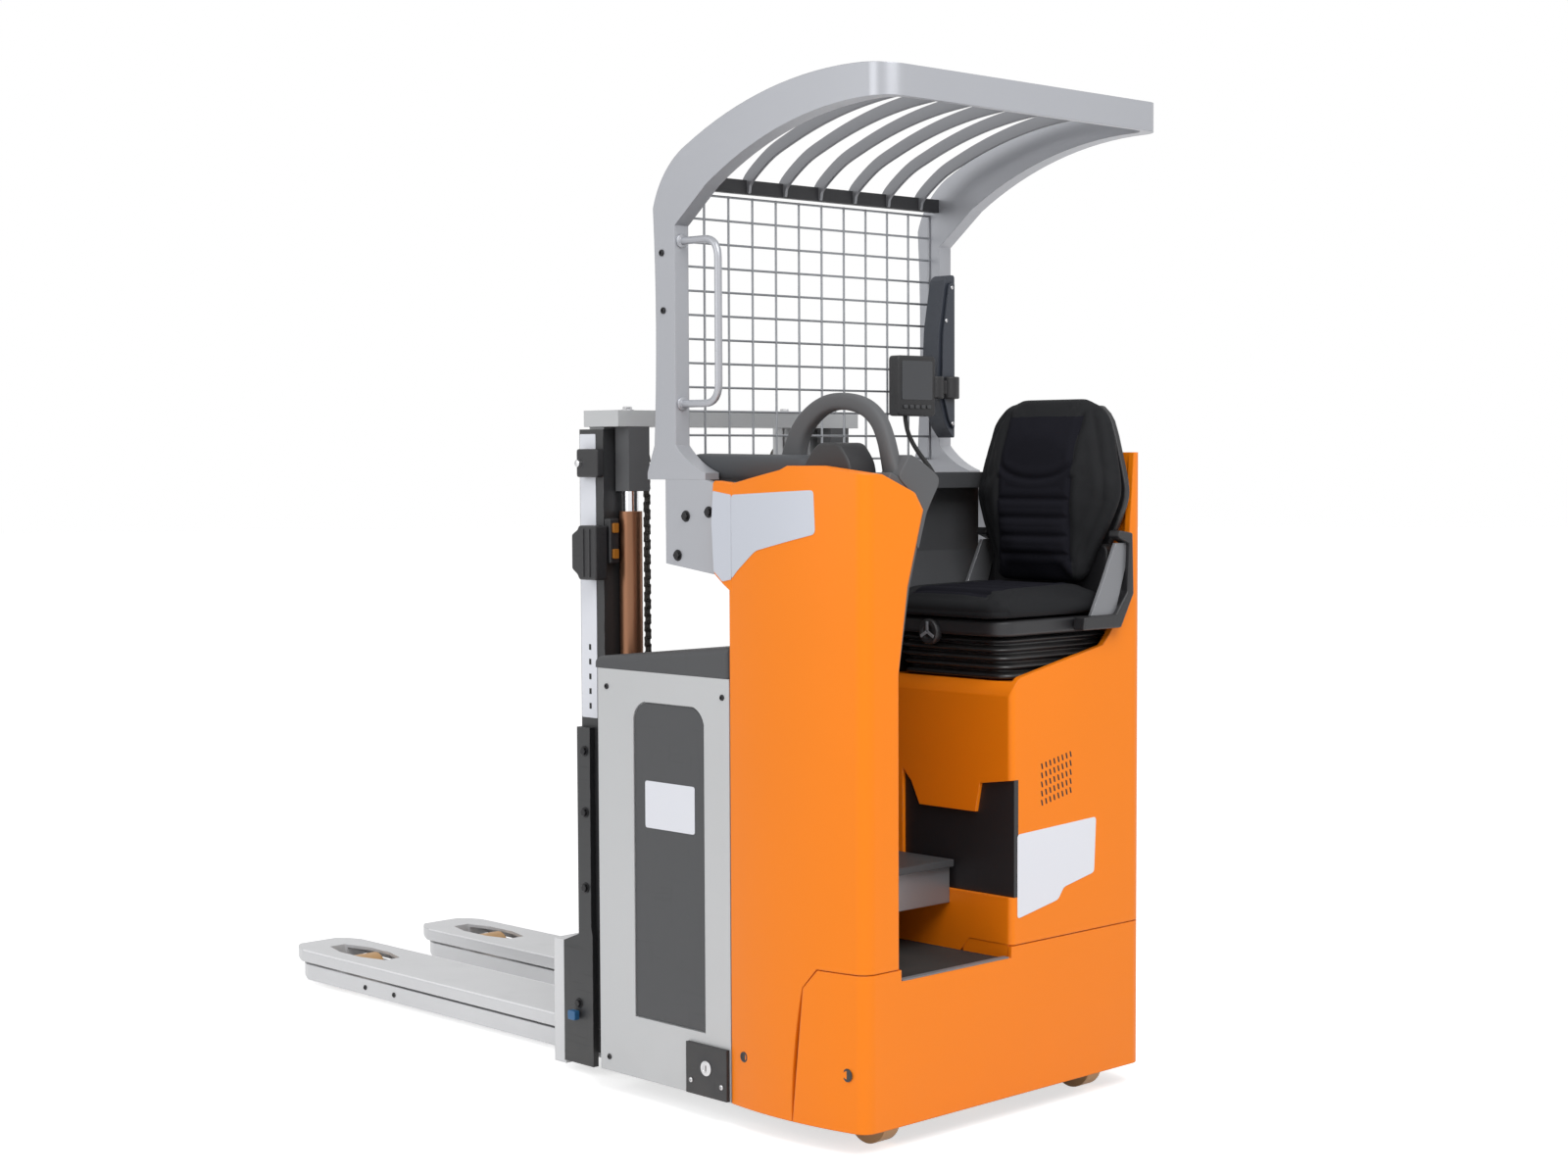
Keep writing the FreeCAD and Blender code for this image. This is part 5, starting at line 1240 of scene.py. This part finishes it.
class FORKLIFT_OT_rail(bpy.types.Operator):
    """Mould the grab hoop, the armrest pad and the dark lining of the console"""
    bl_idname = "forklift.rail"
    bl_label = "Hoop, armrest and lining"

    def execute(self, context):
        side = 0.285
        form = bmesh.new()
        knots = ((0.330, 1.225, 0.076), (0.320, 1.280, 0.064), (0.306, 1.330, 0.050),
                 (0.286, 1.365, 0.043), (0.252, 1.393, 0.038), (0.212, 1.4095, 0.034),
                 (0.165, 1.4115, 0.033), (0.118, 1.4005, 0.033), (0.084, 1.376, 0.033),
                 (0.064, 1.340, 0.033), (0.052, 1.300, 0.036), (0.042, 1.262, 0.044), (0.036, 1.222, 0.052))
        path = flowing([(*spot(station, side, height), wide) for station, height, wide in knots], 5)
        swept(form, path, LEFT, pebble(1.0, 0.028, 3.2, 24))
        settle("grab_hoop", form, "dark_grey_panel", "soft_grip", crease=60, replaced=("console_rail",))

        form = bmesh.new()
        low, high, front, back = 1.2535, 1.310, 0.552, 0.205
        section = pebble(high - low, 0.070, 3.0, 28)
        rings = []
        for step in range(33):
            t = step / 32
            near_end = min(t, 1 - t) * (front - back)
            swell = math.sqrt(max(1 - max(1 - near_end / 0.026, 0.0) ** 2, 0.02))
            place = spot(back + (front - back) * t, 0.327, (low + high) / 2 + 0.004 * t)
            rings.append([form.verts.new(place + Vector((0, b * (0.55 + 0.45 * swell), a * swell)))
                          for a, b in section])
        bridged(form, rings)
        settle("armrest_pad", outward(form), "dark_grey_panel", "pad_grey", crease=70)

        form = bmesh.new()
        wing = [(0.305, 1.268), (0.272, 1.312), (0.240, 1.297), (0.205, 1.276), (0.192, 1.265),
                (0.196, 1.250), (0.208, 1.232), (0.228, 1.200), (0.250, 1.130), (0.264, 1.150),
                (0.262, 1.232)]
        slab(form, softened(wing, 0.008), spot(0.012, 0, 0), LEFT, UP, 0.052)
        settle("console_wing", outward(form), "dark_grey_panel", "soft_grip", bevel=0.007)

        form = bmesh.new()
        run = [(0.311, 0.884), (0.286, 1.062), (0.243, 1.207), (0.262, 1.235), (0.330, 1.264),
               (0.323, 1.278), (0.255, 1.249), (0.229, 1.207), (0.272, 1.062), (0.304, 0.884)]
        slab(form, run, spot(0.014, 0, 0), LEFT, UP, 0.312)
        settle("console_lining", outward(form), "dark_grey_panel", "soft_grip", bevel=0.003)
        return {"FINISHED"}


class FORKLIFT_OT_guard(bpy.types.Operator):
    """Bend the seven thin roof bars and the driver's grab handle"""
    bl_idname = "forklift.guard"
    bl_label = "Roof bars and grab handle"

    def execute(self, context):
        roof_line = [(station, landed("roof_bars", spot(station, 0.052, 2.2), DOWN).z)
                     for station in (0.530, 0.470, 0.410, 0.350, 0.290, 0.230, 0.160, 0.080, 0.020, -0.036)]
        depth, thick, count, pitch = sizes().bar, 0.007, 7, 0.101
        form = bmesh.new()
        for number in range(count):
            side = (number - (count - 1) / 2) * pitch
            path = [spot(0.541, side, 1.842)]
            path += [spot(station, side, height - depth / 2) for station, height in roof_line]
            swept(form, flowing(path, 5), LEFT, oblong(depth, thick))
        # the bars wear the darker copy of the guard silver: painted shade
        settle("thin_roof_bars", form, "light_grey_paint", "shaded_guard_silver", bevel=0.0012,
               replaced=("roof_bars",))

        form = bmesh.new()
        grip = bent([spot(0.536, 0.382, 1.733), spot(0.425, 0.382, 1.733), spot(0.425, 0.382, 1.412),
                     spot(0.536, 0.382, 1.412)], 0.040, 8)
        swept(form, grip, LEFT, pebble(sizes().handle * 2, sizes().handle * 2, 2.0, 20))
        for height in (1.733, 1.412):
            turned(form, [(0, 0), (0.014, 0), (0.014, 0.003), (0.010, 0.005), (0, 0.005)],
                   spot(0.533, 0.382, height), BACK, 24)
        settle("tube_handle", form, "light_grey_paint", "guard_silver", crease=50,
               replaced=("grab_handle",))
        return {"FINISHED"}


class FORKLIFT_OT_mast(bpy.types.Operator):
    """Fit the mast's pale side strips, and its cable boxes with their ribs, knobs and plugs"""
    bl_idname = "forklift.mast"
    bl_label = "Mast boxes and strips"

    def execute(self, context):
        form = bmesh.new()
        for sign in (-1, 1):
            side = 0.350 * sign
            outline = [(0.846, 0.760), (0.8965, 0.760), (0.8965, 1.355), (0.846, 1.355)]
            slab(form, softened(outline, 0.003), spot(0, side, 0), AHEAD, UP, -0.0012 * sign)
            # the strips' five slots are thin black sheets: painted shade of their openings
            for number in range(5):
                slab(form, oblong(0.007, 0.012), spot(0.868, side + sign * 0.0013, 0.785 + number * 0.031),
                     AHEAD, UP, -0.0003 * sign, 1)
        settle("mast_strips", outward(form), "light_grey_paint", "white_plate", "hole_shade_black")

        form = bmesh.new()
        for sign in (-1, 1):
            base = 0.352
            body = [(0.806, 1.052), (0.862, 1.052), (0.868, 1.062), (0.886, 1.074), (0.886, 1.146),
                    (0.868, 1.156), (0.862, 1.165), (0.806, 1.165)]
            slab(form, body, spot(0, sign * base, 0), AHEAD, UP, -0.033 * sign)
            slab(form, oblong(0.026, 0.094), spot(0.8215, sign * 0.337, 1.133), RIGHT, UP, 0.020)
            clamp = [(0.815, 1.265), (0.884, 1.265), (0.884, 1.324), (0.815, 1.324)]
            slab(form, softened(clamp, 0.006), spot(0, sign * base, 0), AHEAD, UP, -0.020 * sign)
        settle("cable_boxes", outward(form), "black_plastic", "black_plastic", bevel=0.004,
               replaced=("mast_boxes",))

        form = bmesh.new()
        for sign in (-1, 1):
            for station in (0.826, 0.846):
                slab(form, oblong(0.0045, 0.100), spot(station, sign * 0.385, 1.1085), AHEAD, UP,
                     -0.002 * sign)
            turned(form, [(0, -0.001), (0.008, -0.001), (0.008, 0.006), (0.005, 0.008), (0, 0.008)],
                   spot(0.874, sign * 0.372, 1.294), (0, sign, 0), 20, 1)
            for height in (1.106, 1.160):
                slab(form, softened(oblong(0.014, 0.020), 0.003), spot(0.802, sign * 0.337, height),
                     RIGHT, UP, 0.006, 2)
        settle("box_ribs", outward(form), "black_plastic", "black_plastic", "bolt_steel", "amber_plug",
               bevel=0.0008)
        return {"FINISHED"}


class FORKLIFT_OT_console(bpy.types.Operator):
    """Mould the control pod with its buttons"""
    bl_idname = "forklift.console"
    bl_label = "Control pod"

    def execute(self, context):
        low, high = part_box("control_pod")
        form = bmesh.new()
        middle = (low.y + high.y) / 2
        outline = softened([(low.x, low.z + 0.004), (high.x, low.z + 0.004), (high.x - 0.016, high.z - 0.036),
                            (high.x - 0.050, high.z - 0.001), (low.x + 0.036, high.z - 0.001),
                            (low.x + 0.008, high.z - 0.036)], 0.014)
        slab(form, outline, Vector((0, high.y - 0.002, 0)), AHEAD, UP, high.y - low.y - 0.003)
        settle("pod_case", outward(form), "black_plastic", "black_plastic", bevel=0.010,
               replaced=("control_pod",))

        form = bmesh.new()
        slope = Vector((high.x - 0.033, middle, high.z - 0.019))
        normal = Vector((0.70, 0, 0.68)).normalized()
        for side, paint in ((-0.016, 0), (0.0, 1), (0.016, 0)):
            turned(form, [(0.0062, -0.001), (0.0062, 0.0015), (0.0050, 0.0024), (0, 0.0024)],
                   slope + LEFT * side, normal, 20, paint)
        settle("pod_buttons", form, "black_plastic", "knob_grey", "signal_red", bevel=0.0004)
        return {"FINISHED"}


class FORKLIFT_OT_fork_trim(bpy.types.Operator):
    """Lay thin bright beads along the forks' top edges as a painted highlight, and fit the blue battery plug
    """
    bl_idname = "forklift.fork_trim"
    bl_label = "Fork edges and battery plug"

    def execute(self, context):
        # thin bright beads on the forks' top edges: a painted highlight where the light catches them
        form = bmesh.new()
        top = landed("forks", spot(1.4, 0.2, 1), DOWN).z
        for sign in (-1, 1):
            for start, out in ((sign, -sign), (0, sign)):
                for stations in ((0.985, 1.35), (1.35, 1.75), (1.75, 2.10)):
                    ends = [landed("forks", spot(station, start, top - 0.004), LEFT * out)
                            for station in stations]
                    swept(form, [Vector((end.x, end.y, top - 0.0015)) for end in ends], LEFT,
                          pebble(0.004, 0.004, 2.0, 8))
        settle("fork_edge_highlights", form, "light_grey_paint", "painted_highlight_edge", body="fork_carriage", crease=60)

        form = bmesh.new()
        slab(form, softened(oblong(0.024, 0.020), 0.004), spot(0.905, 0.368, 0.126), AHEAD, UP, -0.014)
        settle("battery_plug", outward(form), "black_plastic", "plug_blue", bevel=0.002)
        return {"FINISHED"}


class FORKLIFT_OT_footwell(bpy.types.Operator):
    """Edge the step and line both sides of the footwell"""
    bl_idname = "forklift.footwell"
    bl_label = "Footwell"

    def execute(self, context):
        form = bmesh.new()
        slab(form, softened(oblong(0.302, 0.016), 0.003), spot(0.0095, 0.155, 0.3215), RIGHT, AHEAD, 0.003)
        settle("step_edge", outward(form), "light_grey_paint", "knob_grey", bevel=0.001)

        form = bmesh.new()
        riser = [(0.009, 0.3125), (0.130, 0.3125), (0.130, 0.3475), (0.009, 0.3475)]
        for side, thick in ((-0.0045, -0.004), (0.3145, 0.004)):
            slab(form, riser, spot(0, side, 0), AHEAD, UP, thick)
        settle("footwell_risers", outward(form), "orange_paint", "orange_paint")
        return {"FINISHED"}


class FORKLIFT_PT_panel(bpy.types.Panel):
    """Lists the steps that dress the forklift"""
    bl_idname = "FORKLIFT_PT_panel"
    bl_label = "Forklift"
    bl_space_type = "VIEW_3D"
    bl_region_type = "UI"
    bl_category = "Forklift"

    def draw(self, context):
        for step in STEPS:
            self.layout.operator(step.bl_idname)
        scene = context.scene
        for group in (scene.forklift_colours, scene.forklift_sizes, scene.forklift_stage):
            for name in group.bl_rna.properties.keys():
                if name not in ("rna_type", "name"):
                    self.layout.prop(group, name)


STEPS = (
    FORKLIFT_OT_stage, FORKLIFT_OT_finishes, FORKLIFT_OT_seat_back, FORKLIFT_OT_seat_cushion,
    FORKLIFT_OT_seat_base, FORKLIFT_OT_mesh, FORKLIFT_OT_chains, FORKLIFT_OT_plates, FORKLIFT_OT_openings,
    FORKLIFT_OT_bolts, FORKLIFT_OT_rail, FORKLIFT_OT_guard, FORKLIFT_OT_mast, FORKLIFT_OT_terminal,
    FORKLIFT_OT_console, FORKLIFT_OT_fork_trim, FORKLIFT_OT_footwell)
CLASSES = (ForkliftColours, ForkliftSizes, ForkliftStage, *STEPS, FORKLIFT_PT_panel)


def register():
    """Register the classes and hang their settings on the scene."""
    for entry in CLASSES:
        bpy.utils.register_class(entry)
    bpy.types.Scene.forklift_colours = bpy.props.PointerProperty(type=ForkliftColours)
    bpy.types.Scene.forklift_sizes = bpy.props.PointerProperty(type=ForkliftSizes)
    bpy.types.Scene.forklift_stage = bpy.props.PointerProperty(type=ForkliftStage)


def unregister():
    """Take the settings and classes away again."""
    del bpy.types.Scene.forklift_colours
    del bpy.types.Scene.forklift_sizes
    del bpy.types.Scene.forklift_stage
    for entry in reversed(CLASSES):
        bpy.utils.unregister_class(entry)


def main():
    register()
    for step in STEPS:
        group, name = step.bl_idname.split(".")
        getattr(getattr(bpy.ops, group), name)()


if __name__ == "__main__":
    main()
